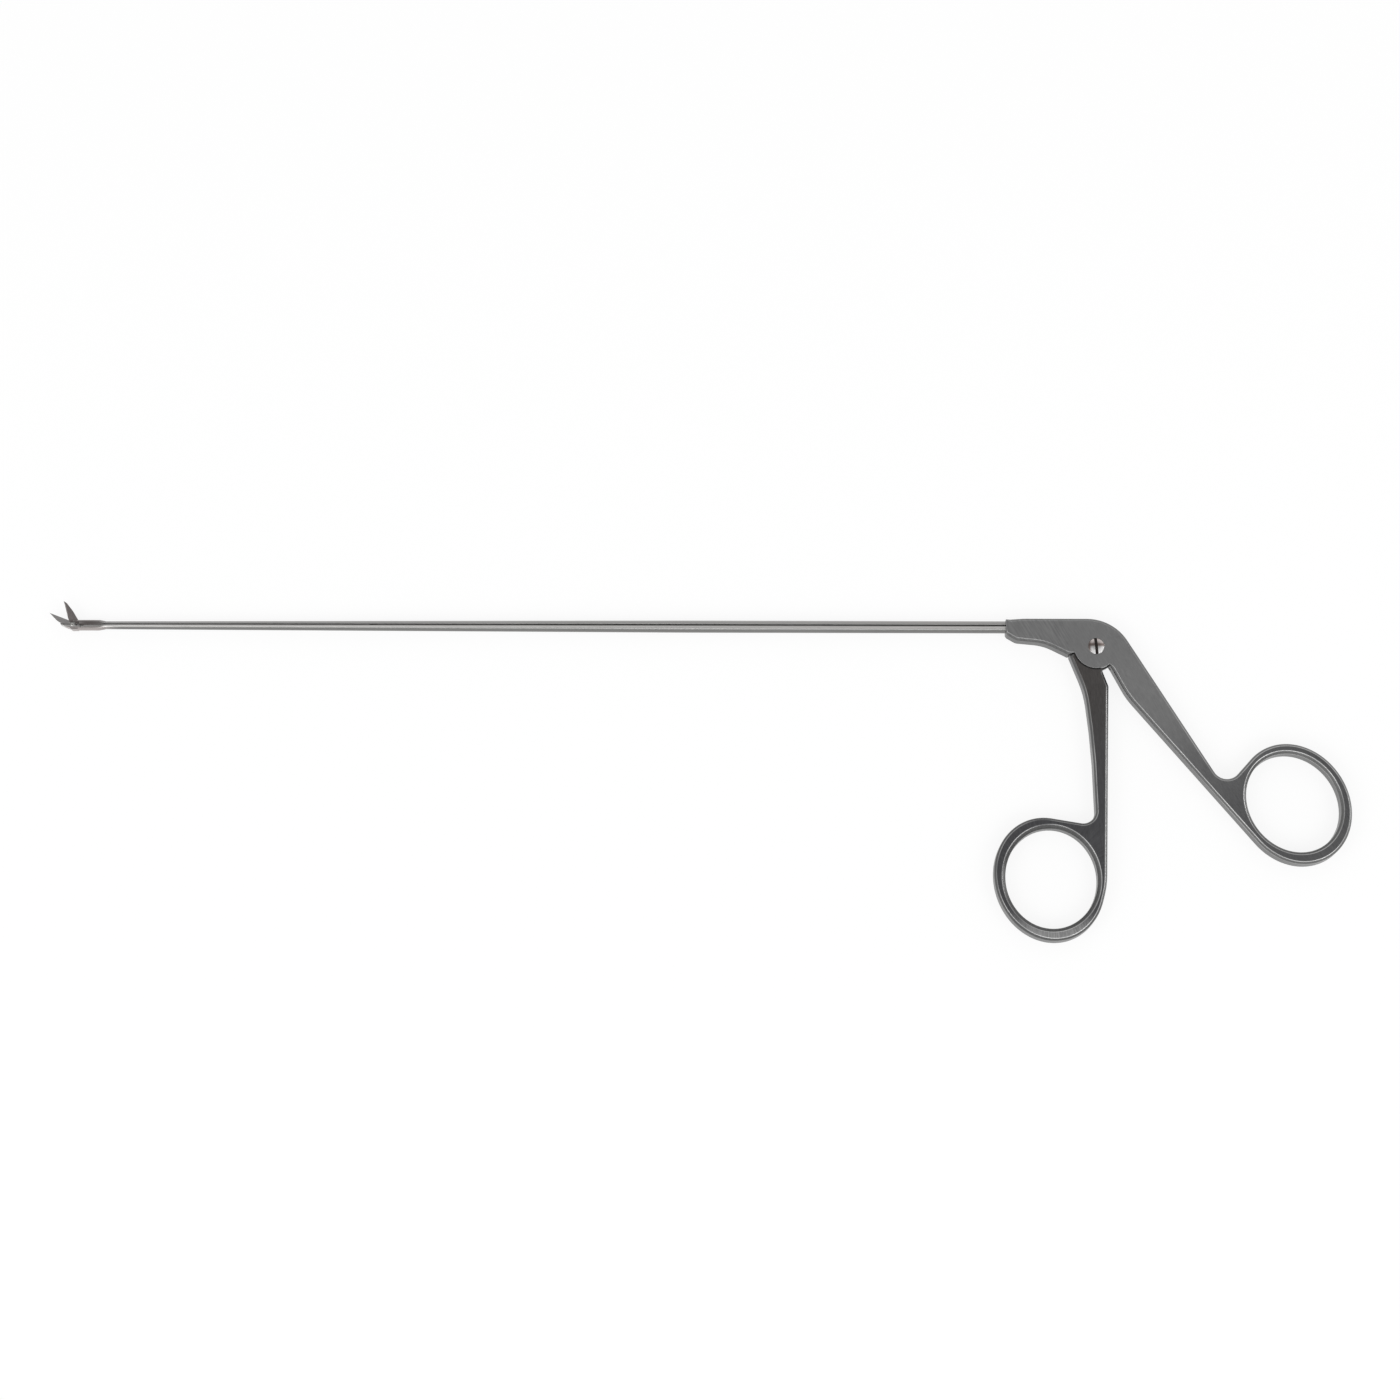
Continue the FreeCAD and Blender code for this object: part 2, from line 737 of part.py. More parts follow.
def moving_blade():
    """Blade that turns on the pivot pin, with a slot for the drive pin."""
    corners = at_pivot([moving_blade_tip, moving_blade_heel, *moving_blade_root, *moving_blade_back])
    low = mid_z + blade_gap / 2
    high = low + blade_thickness
    solid = sharpened(plate(closed_path(corners), low, high), corners[0], corners[1], high)
    solid = solid.fuse(peg(blade_eye_radius, blade_pivot, low, high))
    solid = solid.cut(peg(blade_pin_radius + blade_pin_gap, blade_pivot, 0, plate_thickness))
    near = blade_drive_arm - blade_drive_gap
    far = math.hypot(blade_drive_arm, slide_travel / 2) + blade_drive_gap
    width = blade_drive_radius + blade_drive_gap
    slot = box(near, far, -width, width, low - 1, high + 1)
    for end in (near, far):
        slot = slot.fuse(peg(width, (end, 0), low - 1, high + 1))
    slot.rotate(vec(0, 0), vec(0, 0, 1), 90 - blade_travel_angle / 2)
    slot.translate(vec(*blade_pivot))
    return solid.cut(slot).removeSplitter()


def blade_pivot_pin():
    """Pin with a small round head at each side that both blades sit on."""
    low = mid_z - head_half_width
    high = mid_z + head_half_width
    pin = peg(blade_pin_radius, blade_pivot, low, high)
    near = peg(blade_pin_head_radius, blade_pivot, high, high + blade_pin_head_height)
    under = peg(blade_pin_head_radius, blade_pivot, low - blade_pin_head_height, low)
    return pin.fuse(near).fuse(under).removeSplitter()


def sharpened(solid, start, end, z):
    """The blade with a ground bevel along the edge between two outline corners."""
    middle = vec((start[0] + end[0]) / 2, (start[1] + end[1]) / 2, z)
    edge = min(solid.Edges, key=lambda e: e.CenterOfMass.distanceToPoint(middle))
    return solid.makeChamfer(edge_bevel, [edge])


def cross_pin(radius, place, half_length):
    """Plain pin across the middle of the part."""
    return peg(radius, place, mid_z - half_length, mid_z + half_length)


def main():
    os.makedirs("parts", exist_ok=True)
    tongue_half = slot_width / 2 - slot_side_gap
    pieces = {
        "rear_handle": rear_handle(),
        "front_handle": front_handle(),
        "pivot_screw": pivot_screw(),
        "upper_shaft": upper_shaft(),
        "lower_shaft": lower_shaft(),
        "fixed_blade": fixed_blade(),
        "moving_blade": moving_blade(),
        "blade_pivot_pin": blade_pivot_pin(),
        "blade_drive_pin": cross_pin(blade_drive_radius, blade_drive_place(), head_half_width),
        "blade_rivet": cross_pin(blade_rivet_radius, blade_rivet_place(), head_half_width),
        "handle_drive_pin": cross_pin(handle_pin_radius, handle_pin_place(), tongue_half),
    }
    for name, x in anchor_places.items():
        half = plate_thickness / 2 - anchor_recess
        pieces[f"shaft_anchor_pin_{name}"] = cross_pin(anchor_radius, (x, anchor_y), half)
    for name, x in guide_places.items():
        pieces[f"guide_rivet_{name}"] = guide_rivet(x)
    for name, shape in pieces.items():
        shape.exportStep(f"parts/{name}.step")
        print(name, len(shape.Solids), shape.isValid(), round(shape.Volume, 2), shape.BoundBox)


main()
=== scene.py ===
# Angled surgical scissors lying on one side on a pale floor.
# Sizes are in millimetres and angles in degrees until a mesh is made; meshes are in metres.
# X runs from the blades (minus) to the thumb ring (plus), Y up the body,
# and Z out of the side that faces up.

import math

import bpy
import numpy as np
from mathutils import Matrix, Vector
from mathutils.geometry import delaunay_2d_cdt


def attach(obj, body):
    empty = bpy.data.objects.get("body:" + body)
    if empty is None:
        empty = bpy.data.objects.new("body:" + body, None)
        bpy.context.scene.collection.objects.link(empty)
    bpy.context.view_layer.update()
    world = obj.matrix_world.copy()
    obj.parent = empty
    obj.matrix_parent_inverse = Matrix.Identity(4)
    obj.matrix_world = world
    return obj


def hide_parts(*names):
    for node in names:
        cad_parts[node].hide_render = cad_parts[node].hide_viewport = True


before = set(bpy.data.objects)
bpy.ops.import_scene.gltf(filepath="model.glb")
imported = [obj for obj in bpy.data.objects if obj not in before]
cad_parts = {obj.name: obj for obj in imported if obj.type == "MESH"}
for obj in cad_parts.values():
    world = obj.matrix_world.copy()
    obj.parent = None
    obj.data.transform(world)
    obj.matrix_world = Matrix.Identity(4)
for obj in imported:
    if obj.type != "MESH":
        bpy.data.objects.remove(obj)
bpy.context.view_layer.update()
millimetre = 0.001
print("frame loaded")


# Outlines

# Straight run through corners (x, y, radius): each inner corner gives way to the arc
# of its radius that touches both sides, one point every few degrees but none too near the last.
def roundedRun(corners, shortest=0.04, turnStep=5.0):
    points = [np.array([corners[0][:2]], float)]
    for before, corner, after in zip(corners, corners[1:], corners[2:]):
        here = np.array(corner[:2], float)
        back = np.array(before[:2]) - here
        back /= np.linalg.norm(back)
        ahead = np.array(after[:2]) - here
        ahead /= np.linalg.norm(ahead)
        radius = corner[2]
        if radius == 0:
            points.append(here[None])
            continue
        half = 0.5 * math.acos(np.clip(back @ ahead, -1, 1))
        middle = (back + ahead) / np.linalg.norm(back + ahead)
        centre = here + middle * radius / math.sin(half)
        reach = radius / math.tan(half)
        start = here + back * reach - centre
        end = here + ahead * reach - centre
        first = math.atan2(start[1], start[0])
        sweep = math.atan2(end[1], end[0]) - first
        sweep = (sweep + math.pi) % (2 * math.pi) - math.pi
        byTurn = math.ceil(abs(math.degrees(sweep)) / turnStep)
        byLength = math.floor(radius * abs(sweep) / shortest)
        count = max(1, min(byTurn, byLength))
        turn = first + sweep * np.linspace(0, 1, count + 1)
        points.append(centre + radius * np.stack([np.cos(turn), np.sin(turn)], 1))
    points.append(np.array([corners[-1][:2]], float))
    return np.concatenate(points)


# Closed loop through corners (x, y, radius), started in the middle of its first side.
def roundedLoop(corners):
    first = corners[0]
    second = corners[1]
    seam = ((first[0] + second[0]) / 2, (first[1] + second[1]) / 2, 0)
    return roundedRun([seam, *corners[1:], first, seam])[:-1]


# Round stretch about the screw's axis from one angle to another.
def roundStretch(radius, first, last, turnStep=4.0):
    count = max(2, math.ceil(abs(last - first) / turnStep))
    turn = np.radians(np.linspace(first, last, count + 1))
    return radius * np.stack([np.cos(turn), np.sin(turn)], 1)


# Point at a distance and an angle from the screw's axis.
def polar(radius, angle):
    return (radius * math.cos(math.radians(angle)), radius * math.sin(math.radians(angle)))


# Ellipse: half axes times cosine and sine of the parameter, turned by its angle and moved to
# its centre.
def ovalStretch(oval, first=0.0, last=2 * math.pi, count=140):
    parameter = np.linspace(first, last, count + 1)
    turn = math.radians(oval["angle"])
    along = oval["halfLength"] * np.cos(parameter)
    across = oval["halfWidth"] * np.sin(parameter)
    x = oval["centre"][0] + along * math.cos(turn) - across * math.sin(turn)
    y = oval["centre"][1] + along * math.sin(turn) + across * math.cos(turn)
    return np.stack([x, y], 1)


# Parameter where the line from a point touches the oval, found on the unit circle.
def ovalTouch(oval, point, side):
    turn = math.radians(oval["angle"])
    dx = point[0] - oval["centre"][0]
    dy = point[1] - oval["centre"][1]
    along = (dx * math.cos(turn) + dy * math.sin(turn)) / oval["halfLength"]
    across = (-dx * math.sin(turn) + dy * math.cos(turn)) / oval["halfWidth"]
    return math.atan2(across, along) + side * math.acos(1 / math.hypot(along, across))


# The loop without points that nearly touch, with long sides cut into steps. A side is only cut
# where each part stays about as long as the step, so that rims can shrink past its ends.
def stepped(loop, step, nearest=0.03):
    gap = np.linalg.norm(np.roll(loop, -1, 0) - loop, axis=1)
    loop = loop[gap > nearest]
    following = np.roll(loop, -1, 0)
    gap = np.linalg.norm(following - loop, axis=1)
    counts = np.maximum(1, np.floor(gap / step)).astype(int)
    which = np.repeat(np.arange(len(loop)), counts)
    part = np.arange(counts.sum()) - np.repeat(np.cumsum(counts) - counts, counts)
    share = part / counts[which]
    return loop[which] + (following - loop)[which] * share[:, None]


# Counterclockwise copy of a loop.
def counterclockwise(loop):
    following = np.roll(loop, -1, 0)
    area = (loop[:, 0] * following[:, 1] - loop[:, 1] * following[:, 0]).sum()
    return loop if area > 0 else loop[::-1]


# Meshes

# Attribute "edge": at each point the steepest fold between two faces that meet there,
# 0 below the first angle and 1 above the last. It says where handling polishes the steel and where
# the steel takes painted highlight lines.
def markEdges(mesh, first=6.0, last=11.0):
    edgeOfLoop = np.empty(len(mesh.loops), int)
    mesh.loops.foreach_get("edge_index", edgeOfLoop)
    sides = np.empty(len(mesh.polygons), int)
    mesh.polygons.foreach_get("loop_total", sides)
    faceOfLoop = np.repeat(np.arange(len(sides)), sides)
    normals = np.empty(len(sides) * 3)
    mesh.polygons.foreach_get("normal", normals)
    ends = np.empty(len(mesh.edges) * 2, int)
    mesh.edges.foreach_get("vertices", ends)
    order = np.argsort(edgeOfLoop, kind="stable")
    pairs = normals.reshape(-1, 3)[faceOfLoop[order]].reshape(-1, 2, 3)
    fold = np.degrees(np.arccos(np.clip((pairs[:, 0] * pairs[:, 1]).sum(1), -1, 1)))
    steepest = np.zeros(len(mesh.vertices))
    for end in ends.reshape(-1, 2).T:
        np.maximum.at(steepest, end, fold)
    edge = mesh.attributes.new("edge", "FLOAT", "POINT")
    edge.data.foreach_set("value", np.clip((steepest - first) / (last - first), 0, 1))


smoothBelow = 35.0  # two faces that meet at a smaller angle are shaded as one


# New object in the scene.
def linked(name, data):
    item = bpy.data.objects.new(name, data)
    bpy.context.scene.collection.objects.link(item)
    return item


# Object at the origin from points in millimetres; its place is in its mesh.
def makePiece(name, points, faces):
    mesh = bpy.data.meshes.new(name)
    mesh.from_pydata((np.asarray(points) * millimetre).tolist(), [], faces)
    mesh.validate()
    markEdges(mesh)
    mesh.shade_smooth()
    mesh.set_sharp_from_angle(angle=math.radians(smoothBelow))
    return linked(name, mesh)


# Outward step of each point of a loop that has the material on its left:
# the sum of the two sides' normals, lengthened so that both sides move by one unit.
def cornerNormals(loop):
    leastSpread = 0.35  # keeps the step at a sharp corner short
    side = np.roll(loop, -1, 0) - loop
    side /= np.linalg.norm(side, axis=1)[:, None]
    normal = np.stack([side[:, 1], -side[:, 0]], 1)
    last = np.roll(normal, 1, 0)
    spread = np.maximum(1 + (normal * last).sum(1), leastSpread)
    return (normal + last) / spread[:, None]


# Rows (inset, drop) from the flat face over a bevelled rim to the wall. The bevel is a straight
# slope, and where it meets the face and the wall a parabola of the given softness rounds it.
def rimRows(bevel, softness):
    mostSoft = 0.45  # share of the bevel that a rounding may take
    slopeShare = 0.3  # share of the slope before and after its own two rows
    soft = np.minimum(softness, mostSoft * bevel)
    slant = soft / math.sqrt(2)
    rows = [(bevel + 2 * soft, 0 * bevel)]
    share = np.array([0, 1 / 3, 2 / 3, 1])
    for t in share:
        inset = (1 - t) ** 2 * (bevel + soft) + 2 * t * (1 - t) * bevel + t * t * (bevel - slant)
        rows.append((inset, t * t * slant))
    rest = slopeShare * (bevel - 2 * slant)
    rows.append((bevel - slant - rest, slant + rest))
    rows.append((slant + rest, bevel - slant - rest))
    for t in share:
        drop = (1 - t) ** 2 * (bevel - slant) + 2 * t * (1 - t) * bevel + t * t * (bevel + soft)
        rows.append(((1 - t) ** 2 * slant, drop))
    rows.append((0 * bevel, bevel + 2 * soft))
    return rows


# Triangles between an outer flat loop and the holes in it, as indices into the loops' points
# one after another. A triangle whose middle is in a hole is left out.
def fillBetween(loops):
    points = np.concatenate(loops)
    edges = []
    start = 0
    for loop in loops:
        ring = np.arange(start, start + len(loop))
        edges += np.stack([ring, np.roll(ring, -1)], 1).tolist()
        start += len(loop)
    insideConstraints = 1
    vectors = [Vector(p) for p in points.tolist()]
    found = delaunay_2d_cdt(vectors, edges, [], insideConstraints, 1e-7)
    original = np.array([ids[0] for ids in found[3]])
    triangles = original[np.array(found[2])]
    x, y = points[triangles].mean(1).T[..., None]
    kept = np.ones(len(triangles), bool)
    for hole in loops[1:]:
        x0, y0 = hole.T
        x1, y1 = np.roll(hole, -1, 0).T
        crosses = (y0 > y) != (y1 > y)
        level = np.where(y1 == y0, 1, y1 - y0)
        kept &= (crosses & (x < x0 + (y - y0) * (x1 - x0) / level)).sum(1) % 2 == 0
    return triangles[kept]


# Plate between two heights: the rim profile carried along each loop, and flat faces between
# the loops. A loop comes with its bevel at each point, above and below; holes run clockwise.
def plateSurface(loops, low, high, softness):
    points = []
    faces = []
    tops = []
    bottoms = []
    start = 0
    for loop, above, below in loops:
        count = len(loop)
        normal = cornerNormals(loop)
        rows = []
        for inset, drop in rimRows(np.broadcast_to(above, count).astype(float), softness):
            rows.append(np.column_stack([loop - normal * inset[:, None], high - drop]))
        for inset, drop in reversed(rimRows(np.broadcast_to(below, count).astype(float), softness)):
            rows.append(np.column_stack([loop - normal * inset[:, None], low + drop]))
        grid = start + np.arange(len(rows) * count).reshape(len(rows), count)
        ahead = np.roll(grid, -1, 1)
        faces += np.stack([grid[:-1], grid[1:], ahead[1:], ahead[:-1]], -1).reshape(-1, 4).tolist()
        points += rows
        tops.append((rows[0][:, :2], grid[0]))
        bottoms.append((rows[-1][:, :2], grid[-1]))
        start += len(rows) * count
    for side, order in ((tops, [0, 1, 2]), (bottoms, [0, 2, 1])):
        triangles = fillBetween([loop for loop, _ in side])
        index = np.concatenate([ids for _, ids in side])
        corners = np.concatenate([loop for loop, _ in side])[triangles]
        u = corners[:, 1] - corners[:, 0]
        v = corners[:, 2] - corners[:, 0]
        clockwise = u[:, 0] * v[:, 1] - u[:, 1] * v[:, 0] < 0
        triangles[clockwise] = triangles[clockwise][:, [0, 2, 1]]
        faces += index[triangles][:, order].tolist()
    return np.concatenate(points), faces


# Profile of radii and heights turned about an upright axis; both ends are closed at the axis.
def turnedSurface(radii, heights, centre, count=64):
    turn = np.linspace(0, 2 * math.pi, count, endpoint=False)
    radii = np.array(radii, float)[:, None]
    heights = np.array(heights, float)[:, None] + 0 * turn
    x = centre[0] + radii * np.cos(turn)
    y = centre[1] + radii * np.sin(turn)
    points = np.stack([x, y, heights], -1).reshape(-1, 3)
    grid = np.arange(len(points)).reshape(len(radii), count)
    ahead = np.roll(grid, -1, 1)
    faces = np.stack([grid[:-1], grid[1:], ahead[1:], ahead[:-1]], -1).reshape(-1, 4).tolist()
    ends = [(*centre, heights[0, 0]), (*centre, heights[-1, 0])]
    points = np.concatenate([points, ends])
    topPole = len(points) - 2
    faces += [[topPole, a, b] for a, b in zip(grid[0].tolist(), ahead[0].tolist())]
    faces += [[topPole + 1, b, a] for a, b in zip(grid[-1].tolist(), ahead[-1].tolist())]
    return points, faces


# Bar along X: at each station the part of a circle that lies beyond a flat, with two small
# round corners where the arc meets the flat, held inside a width and a height.
def barSurface(stations, radius, flat, halfWidth, reach, centre, up, corner):
    arcCount = 40
    cornerCount = 5
    columns = [np.asarray(values, float)[:, None] for values in (radius, flat, halfWidth, reach)]
    radius, flat, halfWidth, reach = columns
    inner = radius - corner
    limit = np.arcsin(np.clip((flat + corner) / inner, -0.999, 0.999))
    cornerShare = np.linspace(0, 1, cornerCount)[None]
    arcShare = np.linspace(0, 1, arcCount)[None]
    turn = -math.pi / 2 + cornerShare * (limit + math.pi / 2)
    across = [inner * np.cos(limit) + corner * np.cos(turn)]
    rise = [flat + corner + corner * np.sin(turn)]
    turn = limit + arcShare * (math.pi - 2 * limit)
    across.append((radius * np.cos(turn))[:, 1:-1])
    rise.append((radius * np.sin(turn))[:, 1:-1])
    across.append(-across[0][:, ::-1])
    rise.append(rise[0][:, ::-1])
    across = np.clip(np.concatenate(across, 1), -halfWidth, halfWidth)
    rise = np.minimum(np.concatenate(rise, 1), reach)
    x = np.asarray(stations, float)[:, None] + 0 * rise
    points = np.stack([x, centre[0] + up * rise, centre[1] + across], -1)
    rows, count = rise.shape
    grid = np.arange(rows * count).reshape(rows, count)
    ahead = np.roll(grid, -1, 1)
    quads = np.stack([grid[:-1], ahead[:-1], ahead[1:], grid[1:]], -1).reshape(-1, 4)
    front = grid[0][::-1]
    rear = grid[-1]
    faces = quads.tolist() + [front.tolist(), rear.tolist()]
    if up > 0:
        faces = [face[::-1] for face in faces]
    return points.reshape(-1, 3), faces


# Joins other closed meshes to a piece or cuts them out of it, and deletes them.
def shaped(piece, added, cutters):
    for other in [*added, *cutters]:
        change = piece.modifiers.new("change", "BOOLEAN")
        change.operation = "UNION" if other in added else "DIFFERENCE"
        change.solver = "EXACT"
        change.object = other
    bpy.context.view_layer.update()
    evaluated = piece.evaluated_get(bpy.context.evaluated_depsgraph_get())
    mesh = bpy.data.meshes.new_from_object(evaluated)
    piece.modifiers.clear()
    old = piece.data
    piece.data = mesh
    bpy.data.meshes.remove(old)
    for other in [*added, *cutters]:
        bpy.data.objects.remove(other)
    mesh.shade_smooth()
    mesh.set_sharp_from_angle(angle=math.radians(smoothBelow))
    return piece


# Plain prism from one loop, used to cut: the loop at two heights, quads between them and two ends.
def prism(loop, low, high):
    loop = stepped(counterclockwise(loop), step=50.0, nearest=0.001)
    count = len(loop)
    points = np.concatenate([np.column_stack([loop, np.full(count, z)]) for z in (low, high)])
    ring = np.arange(count)
    ahead = np.roll(ring, -1)
    faces = np.stack([ring, ahead, ahead + count, ring + count], 1).tolist()
    faces += [ring[::-1].tolist(), (ring + count).tolist()]
    return makePiece("cutter", points, faces)


# Loop of a box between two places along X, from y = 0 up to a height.
def box(front, rear, top):
    return np.array([(front, 0), (rear, 0), (rear, top), (front, top)])


# Plain round pin along Z, used to cut.
def roundCutter(radius, centre, low, high):
    return makePiece("cutter", *turnedSurface([radius, radius], [high, low], centre, count=72))


farHeight = 9.0  # a height or a half width past everything, where a cut or a bar has no limit
pastFace = 1.0  # how far a cutter goes past the face that it opens


# One piece out of several point and face lists.
def gathered(parts):
    points = []
    faces = []
    start = 0
    for some, those in parts:
        points.append(some)
        faces += [[start + index for index in face] for face in those]
        start += len(some)
    return np.concatenate(points), faces


# Pieces

plate = {
    "thickness": 4.6,
    "rimBevel": 0.58,
    "edgeSoftness": 0.12,
    "crispEdge": 0.06,
    "step": 1.0,
    "nearest": 0.1,
    "shortest": 0.12,
}
midZ = plate["thickness"] / 2

lobe = {"radius": 5.4, "gap": 0.1, "shelfAngle": 196.8, "notchAngle": -54.3, "heelAngle": -77.9}

rearHandle = {
    "noseEnd": -21.65,
    "top": 6.9,
    "noseDrop": 0.3,
    "noseSlope": 4.4,
    "chin": (-21.65, 2.95, 0.9),
    "belly": (-19.2, 1.5, 2.5),
    "sag": (-12.5, 0.86, 12.0),
    "shelf": (-6.75, -2.02, 0),
    "shoulder": (4.28, 6.9, 11.3),
    "web": (30.13, -34.76, 3.5),
    "inner": (7.23, -12.1, 20.0),
    "noseRadius": 12.0,
    "ring": {"centre": (46.745, -38.465), "halfLength": 15.09, "halfWidth": 12.98, "angle": -61.3},
    "hole": {"centre": (46.385, -38.205), "halfLength": 12.39, "halfWidth": 10.78, "angle": -57.2},
    "holeBevel": 0.7,
}

frontHandle = {
    "shoulderGap": 0.12,
    "shoulder": (-6.45, -2.2, 0),
    "outerBend": (-2.94, -11.1, 25.0),
    "outerWaist": (-1.45, -24.6, 100.0),
    "web": (-0.87, -43.87, 3.0),
    "innerLow": (1.42, -58.2, 20.0),
    "innerHigh": (2.8, -9.8, 1.2),
    "ring": {"centre": (-12.27, -56.79), "halfLength": 15.02, "halfWidth": 12.99, "angle": -72.3},
    "hole": {"centre": (-11.78, -56.59), "halfLength": 12.05, "halfWidth": 10.94, "angle": -83.6},
    "holeBevel": 0.92,
}

# The slot in the body holds the front handle's tongue; the channel leads the upper bar into it.
slot = {
    "width": 2.1,
    "sideGap": 0.05,
    "roomRadius": 5.2,
    "mouthReach": 1.0,
    "tongueRadius": 4.9,
    "tongueRim": 0.03,
    "tongueSink": 0.3,
    "neckInset": 6.0,
    "heelInset": 2.0,
    "channel": [(-9.0, 3.0, 0), (2.0, 3.0, 0), (2.0, 5.3, 0.4), (-3.0, 6.45, 1.0), (-9.0, 6.45, 0)],
}


# Bevel along a handle's outline: full everywhere, but nearly sharp close to the given points,
# with a straight change over a short distance.
def handleBevel(loop, crispAt, blendLength=0.9):
    distance = np.linalg.norm(loop[:, None] - crispAt[None], axis=2).min(1)
    share = np.clip(distance / blendLength, 0, 1)
    return plate["crispEdge"] + (plate["rimBevel"] - plate["crispEdge"]) * share


# Stretch of a ring's ellipse between the tangents from two corners.
def ringStretch(ring, before, after):
    touch = ovalTouch(ring, before, 1)
    leave = ovalTouch(ring, after, -1)
    if leave < touch:
        leave += 2 * math.pi
    return ovalStretch(ring, touch, leave)


# Points and faces of a handle from the runs of its outline, with its finger hole.
def handleSurface(d, runs, crispAt):
    loop = stepped(np.concatenate(runs), plate["step"], plate["nearest"])
    bevel = handleBevel(loop, crispAt)
    hole = ovalStretch(d["hole"])[:-1][::-1]
    loops = [(loop, bevel, bevel), (hole, d["holeBevel"], d["holeBevel"])]
    return plateSurface(loops, 0, plate["thickness"], plate["edgeSoftness"])


# Rear handle: an outline through the body's corners and round the ring, bevelled into a plate.
# The slot, the channel and the screw's hole are cut out of it.
def makeRearHandle():
    d = rearHandle
    ringRun = ringStretch(d["ring"], d["inner"], d["web"])
    shelfEnd = polar(lobe["radius"], lobe["shelfAngle"])
    notchEnd = polar(lobe["radius"], lobe["notchAngle"])
    back = roundedRun([
        (*ringRun[-1], 0),
        d["web"],
        d["shoulder"],
        (d["noseEnd"] + d["noseSlope"], d["top"], d["noseRadius"]),
        (d["noseEnd"], d["top"] - d["noseDrop"], 0),
        d["chin"],
        d["belly"],
        d["sag"],
        d["shelf"],
        (*shelfEnd, 0),
    ], plate["shortest"])
    lobeRun = roundStretch(lobe["radius"], lobe["shelfAngle"] - 360, lobe["notchAngle"])
    inner = roundedRun([(*notchEnd, 0), d["inner"], (*ringRun[0], 0)], plate["shortest"])
    noseTop = d["top"] - d["noseDrop"]
    noseRise = np.linspace(d["chin"][1] + d["chin"][2], noseTop, 20)
    noseFace = np.column_stack([np.full(len(noseRise), d["noseEnd"]), noseRise])
    sharp = np.concatenate([lobeRun, [shelfEnd, notchEnd], noseFace])
    piece = makePiece("rearHandle", *handleSurface(d, [ringRun, back, lobeRun, inner], sharp))
    low = midZ - slot["width"] / 2
    high = midZ + slot["width"] / 2
    far = lobe["radius"] + slot["mouthReach"]
    mouthArc = roundStretch(far, lobe["shelfAngle"] - 360, lobe["notchAngle"])
    mouth = np.concatenate([[(0, 0)], mouthArc])
    seat = plate["thickness"] - screw["headDepth"]
    shankHole = screw["shankRadius"] + screw["gap"]
    headHole = screw["headRadius"] + screw["gap"]
    cutters = [
        roundCutter(slot["roomRadius"], (0, 0), low, high),
        prism(mouth, low, high),
        prism(roundedLoop(slot["channel"]), low, high),
        roundCutter(shankHole, (0, 0), -pastFace, seat + screw["holeLap"]),
        roundCutter(headHole, (0, 0), seat, plate["thickness"] + pastFace),
    ]
    return shaped(piece, [], cutters)


# Front handle: an outline from the shoulder down, round the ring and up to the heel, closed by
# the arc that lies against the body. A thinner tongue round the screw goes into the slot.
def makeFrontHandle():
    d = frontHandle
    heelRadius = lobe["radius"] + lobe["gap"]
    heel = polar(heelRadius, lobe["heelAngle"])
    shelfTurn = lobe["shelfAngle"] + math.degrees(d["shoulderGap"] / heelRadius) * 2
    shelfEnd = polar(heelRadius, shelfTurn)
    ringRun = ringStretch(d["ring"], d["web"], d["innerLow"])
    outer = roundedRun([
        (*shelfEnd, 0), d["shoulder"], d["outerBend"], d["outerWaist"], d["web"], (*ringRun[0], 0),
    ], plate["shortest"])
    innerCorners = [(*ringRun[-1], 0), d["innerLow"], d["innerHigh"], (*heel, 0)]
    inner = roundedRun(innerCorners, plate["shortest"])
    seat = roundStretch(heelRadius, lobe["heelAngle"], shelfTurn - 360)
    lever = handleSurface(d, [outer, ringRun, inner, seat], seat)
    low = midZ - slot["width"] / 2 + slot["sideGap"]
    high = midZ + slot["width"] / 2 - slot["sideGap"]
    neckTurn = lobe["shelfAngle"] + slot["neckInset"]
    heelTurn = lobe["heelAngle"] - slot["heelInset"]
    neck = roundStretch(heelRadius + slot["tongueSink"], neckTurn - 360, heelTurn)
    disc = roundStretch(slot["tongueRadius"], heelTurn, neckTurn)
    tongueLoop = stepped(np.concatenate([neck, disc]), plate["step"])
    eye = roundStretch(screw["shankRadius"] + screw["gap"], 360, 0)[:-1]
    rim = slot["tongueRim"]
    tongueLoops = [(tongueLoop, rim, rim), (eye, rim, rim)]
    tongue = plateSurface(tongueLoops, low, high, plate["edgeSoftness"])
    return makePiece("frontHandle", *gathered([lever, tongue]))


screw = {
    "shankRadius": 1.2,
    "headRadius": 1.95,
    "headDepth": 0.7,
    "dome": 0.32,
    "innerRing": 0.05,
    "gap": 0.03,
    "seatGap": 0.002,
    "holeLap": 0.1,
    "slotWidth": 0.7,
    "slotDepth": 0.5,
    "slotLean": 5.0,
    "edgeRadius": 0.1,
}


